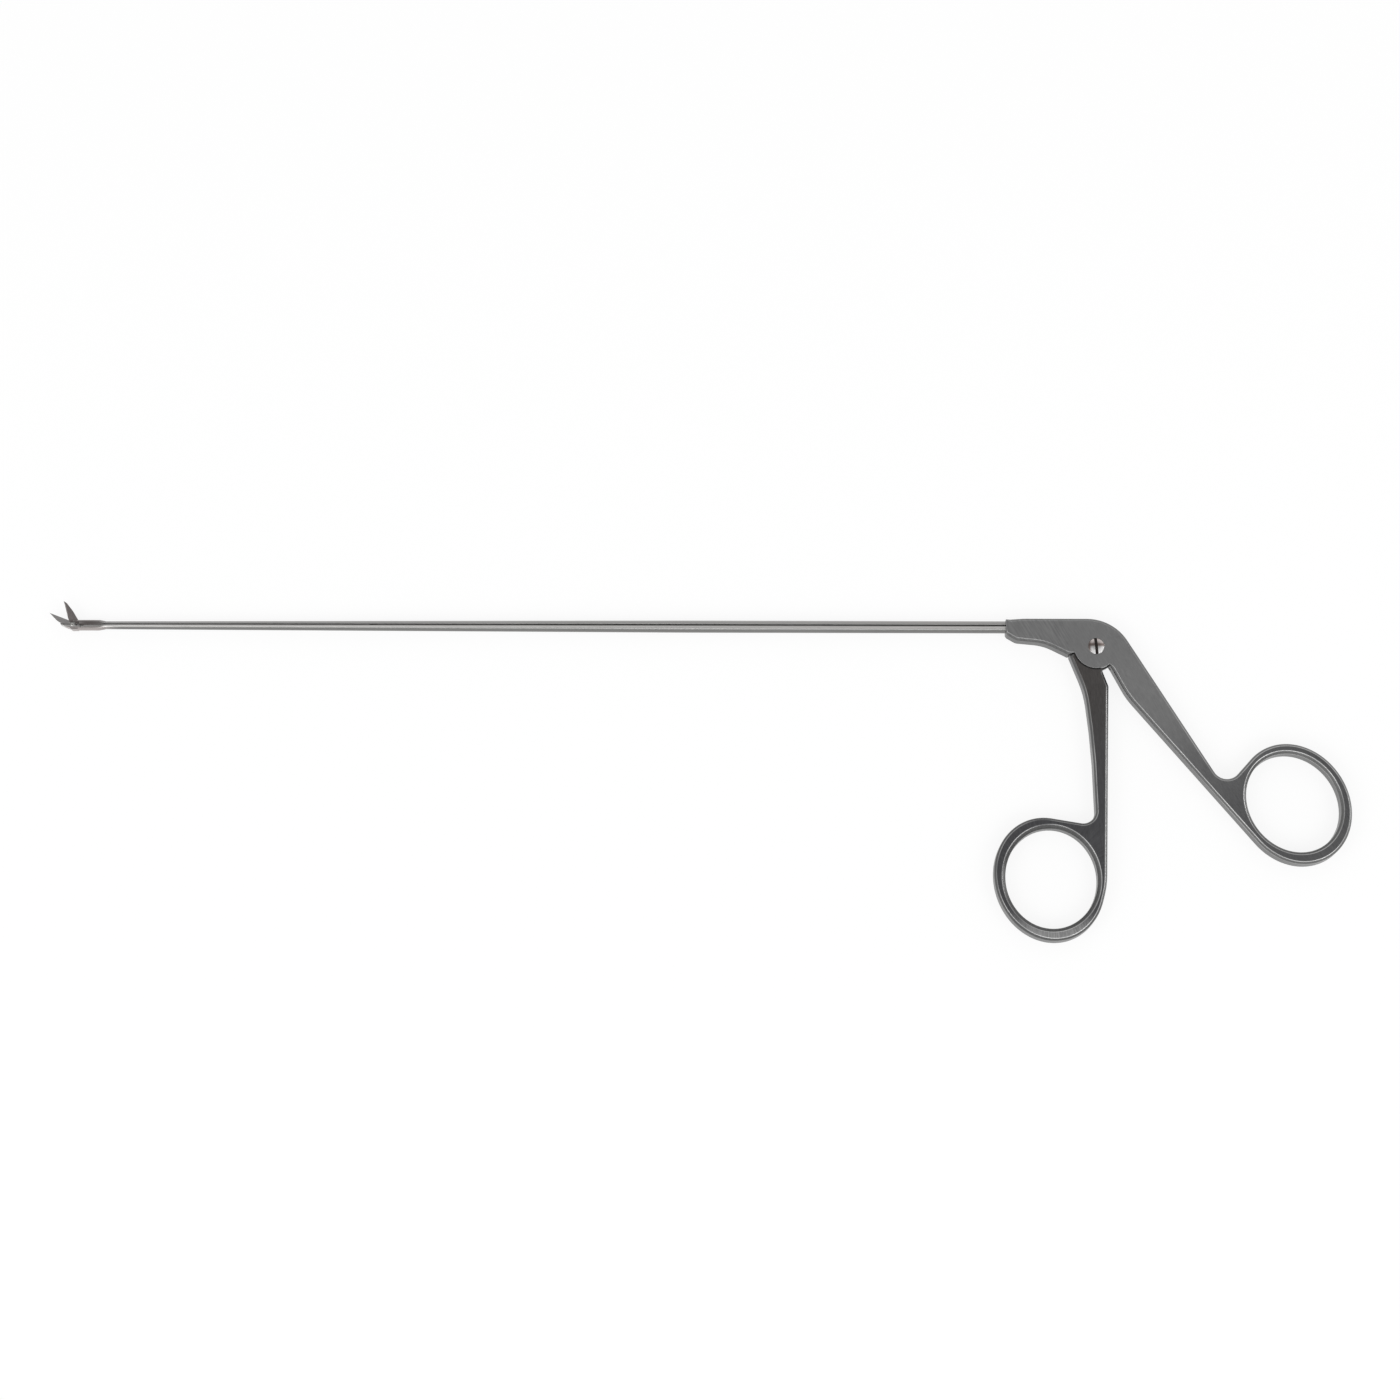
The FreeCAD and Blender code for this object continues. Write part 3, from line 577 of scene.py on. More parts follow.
# Screw: the dome is a slice of a ball whose radius follows from its width and rise.
def makeScrew():
    d = screw
    top = plate["thickness"] + d["dome"]
    ball = (d["headRadius"] ** 2 + d["dome"] ** 2) / (2 * d["dome"])
    domeRadii = np.linspace(d["innerRing"], d["headRadius"] - d["edgeRadius"], 24)
    domeHeights = top - ball + np.sqrt(ball ** 2 - domeRadii ** 2)
    turn = np.radians(np.linspace(70, 0, 5))
    edgeRadii = d["headRadius"] - d["edgeRadius"] * (1 - np.cos(turn))
    edgeHeights = domeHeights[-1] - d["edgeRadius"] * (1 - np.sin(turn))
    seat = plate["thickness"] - d["headDepth"] + d["seatGap"]
    radii = [*domeRadii, *edgeRadii, d["headRadius"], d["shankRadius"], d["shankRadius"]]
    heights = [*domeHeights, *edgeHeights, seat, seat, 0.0]
    piece = makePiece("pivotScrew", *turnedSurface(radii, heights, (0, 0), count=96))
    half = d["slotWidth"] / 2
    far = d["headRadius"] + pastFace
    lean = math.radians(d["slotLean"])
    turned = np.array([[math.cos(lean), math.sin(lean)], [-math.sin(lean), math.cos(lean)]])
    loop = np.array([(-half, -far), (half, -far), (half, far), (-half, far)]) @ turned
    return shaped(piece, [], [prism(loop, top - d["slotDepth"], top + pastFace)])


shaft = {
    "y": 5.13,
    "radius": 1.47,
    "tipRadius": 0.965,
    "rear": -9.15,
    "taperStart": -100.0,
    "taperEnd": -239.2,
    "headStart": -240.9,
    "headRadius": 1.3,
    "headHalfWidth": 1.0,
    "headTop": 6.3,
    "splitY": 5.4,
    "seamAbove": 0.03,
    "seamBelow": 0.22,
    "edgeRadius": 0.1,
    "guides": [-175.0, -75.0],
    "guideRadius": 0.55,
    "guideRoof": 6.0,
    "slide": 0.75,
    "stationGap": 0.05,
    "stationCount": 60,
}

head = {
    "pivot": (-247.3, 5.0),
    "cheekFront": -248.0,
    "cheekStep": -245.72,
    "stepHalf": 0.02,
    "cheekFloor": 5.0,
    "cheekFrontFloor": 5.64,
    "stations": [-244.0, -242.0],
    "dropEnd": -240.6,
    "dropStations": [-240.35, -240.1, -239.85],
    "dropStart": -239.6,
    "slotRear": -244.7,
    "slotWidth": 1.0,
    "drivePin": (-246.942, 5.965),
    "rivet": (-245.35, 4.57),
    "pinHole": 0.2,
}


# Radius of the shaft along X: straight runs between the head and the taper's ends.
def shaftRadius(x):
    stops = [shaft["headStart"], shaft["taperEnd"], shaft["taperStart"]]
    return np.interp(x, stops, [shaft["headRadius"], shaft["tipRadius"], shaft["radius"]])


# Half width across Z: round along the shaft, flat-sided at the head.
def shaftHalfWidth(x):
    return np.where(x < shaft["taperEnd"], shaft["headHalfWidth"], farHeight)


# Stations along X: those of a bar's own front, then close together where the section changes.
def shaftStations(front):
    gap = shaft["stationGap"]
    return np.array([
        *front, *head["stations"], shaft["headStart"] - gap, shaft["headStart"] + 2 * gap,
        head["dropEnd"], *head["dropStations"], head["dropStart"],
        *np.linspace(shaft["taperEnd"], shaft["rear"], shaft["stationCount"]),
    ])


# Bar of the shaft above (1) or below (-1) its flat.
def makeBar(name, x, flat, roof, up):
    centre = (shaft["y"], midZ)
    corner = shaft["edgeRadius"]
    halfWidth = shaftHalfWidth(x)
    surface = barSurface(x, shaftRadius(x), flat, halfWidth, roof, centre, up, corner)
    return makePiece(name, *surface)


# Upper bar: its flat lies on the split, lower under the cheeks and higher at their front ends.
# The slot between the cheeks, the drive pin's hole and the rooms for the guide rivets are cut out.
def makeUpperShaft():
    d = head
    stepFront = d["cheekStep"] - d["stepHalf"]
    stepRear = d["cheekStep"] + d["stepHalf"]
    front = d["cheekFront"]
    x = shaftStations([front, front + shaft["stationGap"], stepFront, stepRear])
    flat = np.interp(
        x,
        [stepFront, stepRear, d["dropEnd"], d["dropStart"]],
        [d["cheekFrontFloor"], d["cheekFloor"], d["cheekFloor"], shaft["splitY"]],
    ) + shaft["seamAbove"] - shaft["y"]
    roof = np.where(x < shaft["headStart"], shaft["headTop"] - shaft["y"], farHeight)
    piece = makeBar("upperShaft", x, flat, roof, 1)
    half = d["slotWidth"] / 2
    cutters = [
        prism(box(front - 2 * pastFace, d["slotRear"], farHeight), midZ - half, midZ + half),
        roundCutter(d["pinHole"], d["drivePin"], 0, plate["thickness"]),
    ]
    half = shaft["guideRadius"]
    for guide in shaft["guides"]:
        room = box(guide - half, guide + half + shaft["slide"], shaft["guideRoof"])
        cutters.append(prism(room, midZ - half, midZ + half))
    return shaped(piece, [], cutters)


lug = {
    "rear": -246.5,
    "rearRadius": 0.15,
    "top": 5.58,
    "topRadius": 0.2,
    "corners": [
        (-248.0, 5.58, 0.4), (-248.75, 5.15, 0.5), (-250.2, 5.5, 0.0), (-250.14, 5.2, 0.0),
        (-249.05, 4.62, 1.5), (-247.8, 4.2, 0.3), (-247.4, 3.85, 0.3),
    ],
    "heel": -246.3,
    "barFront": -246.6,
    "root": -245.9,
    "foot": 3.88,
    "lap": 0.2,
    "slope": 0.1,
    "sideInset": 0.012,
    "rim": 0.04,
    "step": 0.3,
    "channelFloor": 4.22,
    "channelMouth": [(-251.6, 6.3, 0), (-249.9, 5.32, 0), (-248.8, 4.88, 0), (-247.9, 4.42, 0.5)],
    "channelHeel": (-247.3, 4.22, 0.5),
}
smallSoftness = 0.02  # rounding of the rims at the tip


# Lower bar: the lug at its front, with the channel for the fixed blade, is joined to the bar.
def makeLowerShaft():
    x = shaftStations([lug["barFront"], lug["barFront"] + shaft["stationGap"]])
    flat = shaft["y"] - np.interp(
        x, [head["dropEnd"], head["dropStart"]], [head["cheekFloor"], shaft["splitY"]]
    ) + shaft["seamBelow"]
    piece = makeBar("lowerShaft", x, flat, np.full(len(x), farHeight), -1)
    lapFloor = head["cheekFloor"] - lug["lap"]
    lugLoop = roundedLoop([
        (lug["root"], lapFloor, 0), (lug["rear"], lapFloor, lug["rearRadius"]),
        (lug["rear"] - lug["slope"], lug["top"], lug["topRadius"]), *lug["corners"],
        (lug["heel"], lug["foot"], 0), (lug["root"], lug["foot"], 0),
    ])
    half = shaft["headHalfWidth"] - lug["sideInset"]
    lugLoops = [(stepped(lugLoop, lug["step"]), lug["rim"], lug["rim"])]
    lugPiece = makePiece("lug", *plateSurface(lugLoops, midZ - half, midZ + half, smallSoftness))
    channel = roundedLoop([
        (head["slotRear"], lug["channelFloor"], 0),
        (head["slotRear"], farHeight, 0),
        (lug["channelMouth"][0][0], farHeight, 0),
        *lug["channelMouth"],
        lug["channelHeel"],
    ])
    half = head["slotWidth"] / 2
    cutters = [
        prism(channel, midZ - half, midZ + half),
        roundCutter(head["pinHole"], head["rivet"], 0, plate["thickness"]),
    ]
    return shaped(piece, [lugPiece], cutters)


blades = {
    "thickness": 0.47,
    "gap": 0.02,
    "groundEdge": 0.25,
    "groundEnds": 0.35,
    "groundSlope": 0.3,
    "rim": 0.03,
    "step": 0.33,
    "fixed": [
        (-253.1, 8.2, 0), (-251.3, 6.32, 3.0), (-249.6, 5.26, 1.0), (-248.8, 4.93, 1.0),
        (-247.9, 4.48, 0.5), (-247.2, 4.24, 0.5), (-244.8, 4.24, 0.1), (-244.8, 4.94, 0.1),
        (-245.52, 4.94, 0.1), (-245.6, 5.6, 0.15), (-246.6, 5.7, 0.3), (-247.95, 5.7, 0.2),
        (-248.0, 6.24, 0),
    ],
    "moving": [
        (-249.7, 11.05, 0), (-248.5, 6.82, 0), (-248.12, 5.9, 0.4), (-247.99, 5.0, 0.3),
        (-247.3, 4.6, 0.3), (-246.7, 5.1, 0.3), (-245.75, 5.9, 0.3), (-247.35, 8.55, 6.0),
        (-248.9, 10.5, 2.0),
    ],
}


# Bevel of a blade's outline: wide along the cutting edge between two corners, fine elsewhere.
# It grows from each end of the edge.
def bladeBevel(loop, first, last, onEdge=0.02):
    first = np.array(first[:2])
    side = np.array(last[:2]) - first
    share = np.clip((loop - first) @ side / (side @ side), 0, 1)
    away = np.linalg.norm(loop - first - share[:, None] * side, axis=1)
    fromEnds = np.minimum(share, 1 - share) * np.linalg.norm(side)
    ground = blades["rim"] + blades["groundSlope"] * np.maximum(fromEnds - blades["groundEnds"], 0)
    ground = np.minimum(blades["groundEdge"], ground)
    return np.where(away < onEdge, ground, blades["rim"])


# Blade with its flat face on the middle plane's side and the ground bevel on the other side.
def makeBlade(name, corners, first, last, upper):
    loop = stepped(counterclockwise(roundedLoop(corners)), blades["step"])
    bevel = bladeBevel(loop, first, last)
    near = blades["gap"] / 2
    far = near + blades["thickness"]
    if upper:
        low, high = midZ + near, midZ + far
        rims = (bevel, blades["rim"])
    else:
        low, high = midZ - far, midZ - near
        rims = (blades["rim"], bevel)
    return makePiece(name, *plateSurface([(loop, *rims)], low, high, smallSoftness))


# Fixed blade: its cutting edge runs between the last corner and the first.
def makeFixedBlade():
    corners = blades["fixed"]
    return makeBlade("fixedBlade", corners, corners[-1], corners[0], False)


# Moving blade: its cutting edge runs between the first two corners.
def makeMovingBlade():
    corners = blades["moving"]
    return makeBlade("movingBlade", corners, corners[0], corners[1], True)


bladePin = {"shankRadius": 0.3, "headRadius": 0.38, "headRise": 0.1, "sink": 0.01}


# Blade pivot pin: straight shank with a low rounded head at each side, half an ellipse in profile.
def makeBladePin():
    shank = bladePin["shankRadius"]
    rim = bladePin["headRadius"]
    sink = bladePin["sink"]
    low = midZ - shaft["headHalfWidth"]
    high = midZ + shaft["headHalfWidth"]
    turn = np.radians([85, 60, 35, 10])
    cap = rim * np.cos(turn)
    lift = bladePin["headRise"] * np.sin(turn)
    radii = [*cap, rim, shank, shank, rim, *cap[::-1]]
    heights = [*(high + lift), high, high - sink, low + sink, low, *(low - lift[::-1])]
    return makePiece("bladePivotPin", *turnedSurface(radii, heights, head["pivot"], count=32))


# Materials

# New node in a tree, with settings by name.
def addNode(tree, kind, **settings):
    node = tree.nodes.new(kind)
    for key, value in settings.items():
        setattr(node, key, value)
    return node


# Feeds a socket with another node's output, or sets it to a number or colour.
def feed(tree, socket, value):
    if isinstance(value, bpy.types.NodeSocket):
        tree.links.new(value, socket)
    else:
        socket.default_value = value


# Output of a math node on one, two or three inputs.
def calc(tree, operation, *inputs):
    node = addNode(tree, "ShaderNodeMath", operation=operation)
    for socket, value in zip(node.inputs, inputs):
        feed(tree, socket, value)
    return node.outputs[0]


# Output of a vector math node.
def calcVector(tree, operation, first, second=None):
    node = addNode(tree, "ShaderNodeVectorMath", operation=operation)
    feed(tree, node.inputs[0], first)
    if second is not None:
        feed(tree, node.inputs["Scale" if operation == "SCALE" else 1], second)
    return node.outputs["Value" if operation == "LENGTH" else "Vector"]


# Smooth step from 0 to 1 while the value goes from one number to another.
def fade(tree, value, first, last):
    node = addNode(tree, "ShaderNodeMapRange", interpolation_type="SMOOTHSTEP")
    feed(tree, node.inputs["Value"], value)
    feed(tree, node.inputs["From Min"], first)
    feed(tree, node.inputs["From Max"], last)
    return node.outputs["Result"]


# Blend of two colours.
def blend(tree, share, first, second):
    node = addNode(tree, "ShaderNodeMix", data_type="RGBA")
    feed(tree, node.inputs["Factor"], share)
    feed(tree, node.inputs["A"], first)
    feed(tree, node.inputs["B"], second)
    return node.outputs["Result"]


# Noise about zero, from -1 to 1.
def waver(tree, place, detail=2.0):
    node = addNode(tree, "ShaderNodeTexNoise")
    node.inputs["Scale"].default_value = 1.0
    node.inputs["Detail"].default_value = detail
    feed(tree, node.inputs["Vector"], place)
    return calc(tree, "MULTIPLY_ADD", node.outputs["Fac"], 2.0, -1.0)


# Node group with named inputs (kind, name, value) and outputs (kind, name).
def newGroup(name, inputs, outputs):
    group = bpy.data.node_groups.new(name, "ShaderNodeTree")
    for kind, label, value in inputs:
        socket = group.interface.new_socket(label, in_out="INPUT", socket_type="NodeSocket" + kind)
        socket.default_value = value
    for kind, label in outputs:
        group.interface.new_socket(label, in_out="OUTPUT", socket_type="NodeSocket" + kind)
    given = addNode(group, "NodeGroupInput").outputs
    result = addNode(group, "NodeGroupOutput").inputs
    return group, given, result


# Grinding marks: noise on the place, turned by an angle and drawn out along it.
# Strokes are the coarse marks and grain the fine ones between them.
def grindingGroup():
    group, given, result = newGroup("GrindingMarks", [
        ("Vector", "Place", (0, 0, 0)),
        ("Float", "Angle", 0.0),
        ("Float", "StrokeWidth", 0.5),
        ("Float", "GrainWidth", 0.12),
        ("Float", "Length", 9.0),
    ], [("Float", "Stroke"), ("Float", "Grain")])
    turned = addNode(group, "ShaderNodeVectorRotate", rotation_type="Z_AXIS")
    feed(group, turned.inputs["Vector"], given["Place"])
    feed(group, turned.inputs["Angle"], calc(group, "MULTIPLY", given["Angle"], -math.pi / 180))
    for label, width in (("Stroke", "StrokeWidth"), ("Grain", "GrainWidth")):
        across = calc(group, "DIVIDE", 1.0, given[width])
        size = addNode(group, "ShaderNodeCombineXYZ")
        feed(group, size.inputs[0], calc(group, "DIVIDE", across, given["Length"]))
        feed(group, size.inputs[1], across)
        feed(group, size.inputs[2], across)
        drawn = calcVector(group, "MULTIPLY", turned.outputs[0], size.outputs[0])
        feed(group, result[label], waver(group, drawn, detail=3.0))
    return group


# Polish round a ring: noise that only depends on the direction from the ring's centre,
# and a mask that is 1 on the ring and 0 beyond it.
def ringPolishGroup():
    group, given, result = newGroup("RingPolish", [
        ("Vector", "Place", (0, 0, 0)),
        ("Vector", "Centre", (0, 0, 0)),
        ("Float", "Reach", 15.0),
        ("Float", "Fineness", 40.0),
    ], [("Float", "Ray"), ("Float", "Near")])
    softness = 3.0
    arm = calcVector(group, "SUBTRACT", given["Place"], given["Centre"])
    arm = calcVector(group, "MULTIPLY", arm, (1, 1, 0))
    ray = calcVector(group, "SCALE", calcVector(group, "NORMALIZE", arm), given["Fineness"])
    feed(group, result["Ray"], waver(group, ray))
    outer = calc(group, "ADD", given["Reach"], softness)
    beyond = fade(group, calcVector(group, "LENGTH", arm), given["Reach"], outer)
    feed(group, result["Near"], calc(group, "SUBTRACT", 1.0, beyond))
    return group


# Edge wear and painted highlight: polish that follows the edge mask and comes and goes along it,
# which lightens the edges' colour as worn steel and as painted highlight lines, and small dark
# nicks where a second noise is high on an edge.
def edgeWearAndHighlightGroup():
    group, given, result = newGroup("EdgeWearAndHighlight", [
        ("Vector", "Place", (0, 0, 0)),
        ("Float", "Edge", 0.0),
        ("Float", "PatchSize", 6.0),
        ("Float", "NickSize", 0.7),
    ], [("Float", "PolishAndHighlight"), ("Float", "Nick")])
    patchContrast = 1.8
    patchMiddle = 0.7
    leastPolish = 0.15
    nickStart = 0.32
    nickFull = 0.42
    noises = []
    for size in ("PatchSize", "NickSize"):
        scaled = calcVector(group, "SCALE", given["Place"], calc(group, "DIVIDE", 1.0, given[size]))
        noises.append(waver(group, scaled))
    share = calc(group, "MULTIPLY_ADD", noises[0], patchContrast, patchMiddle)
    share = calc(group, "MINIMUM", calc(group, "MAXIMUM", share, leastPolish), 1.0)
    feed(group, result["PolishAndHighlight"], calc(group, "MULTIPLY", given["Edge"], share))
    nick = fade(group, noises[1], nickStart, nickFull)
    feed(group, result["Nick"], calc(group, "MULTIPLY", given["Edge"], nick))
    return group


# Zone: where a measure runs from one number to another, another dark and light tone take over.
# Share says how far the zone holds at a place.
def zoneGroup():
    group, given, result = newGroup("ZoneTint", [
        ("Color", "Before", (0, 0, 0, 1)),
        ("Float", "Tone", 0.5),
        ("Float", "Measure", 0.0),
        ("Float", "Start", 0.0),
        ("Float", "End", 1.0),
        ("Color", "Dark", (0, 0, 0, 1)),
        ("Color", "Light", (1, 1, 1, 1)),
    ], [("Color", "Color"), ("Float", "Share")])
    share = fade(group, given["Measure"], given["Start"], given["End"])
    tint = blend(group, given["Tone"], given["Dark"], given["Light"])
    feed(group, result["Color"], blend(group, share, given["Before"], tint))
    feed(group, result["Share"], share)
    return group


grinding = grindingGroup()
ringPolish = ringPolishGroup()
edgeWearAndHighlight = edgeWearAndHighlightGroup()
zoneTint = zoneGroup()


# A group placed in a tree with values or sockets for its inputs.
def placeGroup(tree, group, **values):
    node = addNode(tree, "ShaderNodeGroup", node_tree=group)
    for key, value in values.items():
        feed(tree, node.inputs[key], value)
    return node.outputs


# Distances in millimetres that a zone can follow: along an axis, from the screw's axis,
# from the middle of the thickness, and from the lower side of the seam between the shaft's bars.
def measures(tree, place):
    split = addNode(tree, "ShaderNodeSeparateXYZ")
    feed(tree, split.inputs[0], place)
    x, y, z = split.outputs
    seamY = shaft["splitY"] - shaft["seamBelow"]
    return {
        "x": x,
        "y": y,
        "z": z,
        "fromScrew": calcVector(tree, "LENGTH", calcVector(tree, "MULTIPLY", place, (1, 1, 0))),
        "fromMiddle": calc(tree, "ABSOLUTE", calc(tree, "SUBTRACT", z, midZ)),
        "fromSeam": calc(tree, "ABSOLUTE", calc(tree, "SUBTRACT", y, seamY)),
    }


# A zone or painted shade placed on a colour.
def placeZone(tree, colour, tone, along, measure, first, last, dark, light):
    return placeGroup(
        tree, zoneTint, Before=colour, Tone=tone, Measure=along[measure], Start=first, End=last,
        Dark=(*dark, 1), Light=(*light, 1),
    )


# Steel: grinding marks, clouds and ring polish shift the colour between a dark and a light tone,
# zones bring other tones, among them painted shade and painted reflections, edges are lighter
# (worn polish and painted highlight lines) and smoother, and marks and nicks stand in a bump.
# Marks hardly dent edges and rims, and painted shade in gaps and recesses is mostly not metal.
def steel(name, look):
    calmShare = 0.9
    paintedShadeMetalCut = 0.8
    material = bpy.data.materials.new(name)
    material.use_nodes = True
    tree = material.node_tree
    shader = tree.nodes["Principled BSDF"]
    metres = addNode(tree, "ShaderNodeTexCoord").outputs["Object"]
    place = calcVector(tree, "SCALE", metres, 1 / millimetre)
    along = measures(tree, place)
    marks = placeGroup(
        tree, grinding, Place=place, Angle=look["angle"], StrokeWidth=look["strokeWidth"],
        GrainWidth=look["grainWidth"], Length=look["length"],
    )
    edge = addNode(tree, "ShaderNodeAttribute", attribute_name="edge").outputs["Fac"]
    wearAndHighlight = placeGroup(
        tree, edgeWearAndHighlight, Place=place, Edge=edge,
        PatchSize=look["patchSize"], NickSize=look["nickSize"],
    )
    strokeShare = look["strokeTint"]
    if "strokeZone" in look:
        zone = fade(tree, along["x"], *look["strokeZone"])
        strokeShare = calc(tree, "MULTIPLY_ADD", zone, look["strokeZoneTint"], look["strokeTint"])
    tone = calc(tree, "MULTIPLY_ADD", marks["Stroke"], strokeShare, 0.5)
    tone = calc(tree, "MULTIPLY_ADD", marks["Grain"], look["grainTint"], tone)
    cloud = waver(tree, calcVector(tree, "SCALE", place, 1 / look["cloudSize"]))
    tone = calc(tree, "MULTIPLY_ADD", cloud, look["cloudTint"], tone)
    if "ring" in look:
        centre = (*look["ring"], 0)
        ring = placeGroup(tree, ringPolish, Place=place, Centre=centre, Reach=look["ringReach"])
        rays = calc(tree, "MULTIPLY", ring["Ray"], ring["Near"])
        tone = calc(tree, "MULTIPLY_ADD", rays, look["ringTint"], tone)
    colour = blend(tree, tone, (*look["dark"], 1), (*look["light"], 1))
    smooth = edge
    for zone in look["zones"]:
        placed = placeZone(tree, colour, tone, along, *zone)
        colour = placed["Color"]
        if zone[0] == "fromMiddle":
            smooth = calc(tree, "MAXIMUM", smooth, placed["Share"])
    # Edges turn lighter: polished wear, and painted highlight lines along the rims.
    edgePolishAndHighlight = calc(tree, "MULTIPLY", wearAndHighlight["PolishAndHighlight"], look["edgeWearAndHighlightShare"])
    if "edgeWearAndHighlightZone" in look:
        edgePolishAndHighlight = calc(tree, "MULTIPLY", edgePolishAndHighlight, fade(tree, along["fromScrew"], *look["edgeWearAndHighlightZone"]))
    colour = blend(tree, edgePolishAndHighlight, colour, (*look["edgeWearAndHighlightColour"], 1))
    nick = calc(tree, "MULTIPLY", wearAndHighlight["Nick"], look["nickShare"])
    colour = blend(tree, nick, colour, (*look["nickColour"], 1))
    metal = 1.0
    # Painted shade in gaps, seams and slots darkens the colour and takes most of the metal away.
    if "paintedShade" in look:
        placed = placeZone(tree, colour, tone, along, *look["paintedShade"], look["paintedShade"][-1])
        colour = placed["Color"]
        metal = calc(tree, "MULTIPLY_ADD", placed["Share"], -paintedShadeMetalCut, 1.0)
    feed(tree, shader.inputs["Base Color"], colour)
    rough = calc(tree, "MULTIPLY_ADD", marks["Grain"], look["roughSpread"], look["roughness"])
    rougher = look["edgeRoughness"] - look["roughness"]
    rough = calc(tree, "MULTIPLY_ADD", wearAndHighlight["PolishAndHighlight"], rougher, rough)
    feed(tree, shader.inputs["Roughness"], rough)
    feed(tree, shader.inputs["Metallic"], metal)
    height = calc(tree, "MULTIPLY", marks["Grain"], look["grainDepth"])
    height = calc(tree, "MULTIPLY_ADD", marks["Stroke"], look["strokeDepth"], height)
    height = calc(tree, "MULTIPLY", height, calc(tree, "MULTIPLY_ADD", smooth, -calmShare, 1.0))
    height = calc(tree, "MULTIPLY_ADD", wearAndHighlight["Nick"], -look["nickDepth"], height)
    bump = addNode(tree, "ShaderNodeBump")
    bump.inputs["Strength"].default_value = 1.0
    bump.inputs["Distance"].default_value = millimetre
    feed(tree, bump.inputs["Height"], height)
    feed(tree, shader.inputs["Normal"], bump.outputs["Normal"])
    return material


# What the steels share, and what sets each one apart. Lengths in millimetres.
# A zone is (measure, start, end, dark tone, light tone) and painted shade is (measure, start, end,
# colour).
plainSteel = {
    "angle": 0.0, "strokeWidth": 0.5, "grainWidth": 0.11, "length": 14.0, "cloudSize": 14.0,
    "patchSize": 16.0, "nickSize": 0.8, "strokeTint": 0.2, "grainTint": 0.4, "cloudTint": 0.3,
    "dark": (0.24, 0.24, 0.243), "light": (0.37, 0.37, 0.368), "zones": [],
    "edgeWearAndHighlightColour": (0.85, 0.85, 0.84), "edgeWearAndHighlightShare": 0.5,
    "nickColour": (0.05, 0.048, 0.046), "nickShare": 0.5,
    "roughness": 0.33, "roughSpread": 0.1, "edgeRoughness": 0.36,
    "strokeDepth": 0.002, "grainDepth": 0.002, "nickDepth": 0.004,
}
barSteel = {
    **plainSteel, "strokeWidth": 0.3, "grainWidth": 0.06, "length": 120.0, "cloudSize": 30.0,
    "cloudTint": 0.15, "roughness": 0.3, "edgeWearAndHighlightShare": 0.1, "edgeRoughness": 0.3,
    "strokeDepth": 0.0004, "grainDepth": 0.0008, "nickShare": 0.0, "nickDepth": 0.0,
}
smallSteel = {
    **plainSteel, "strokeWidth": 0.2, "grainWidth": 0.05, "length": 8.0, "cloudSize": 2.5,
    "edgeWearAndHighlightShare": 0.3, "edgeWearAndHighlightColour": (0.6, 0.59, 0.58),
    "nickShare": 0.2, "nickSize": 0.3, "nickDepth": 0.003,
}
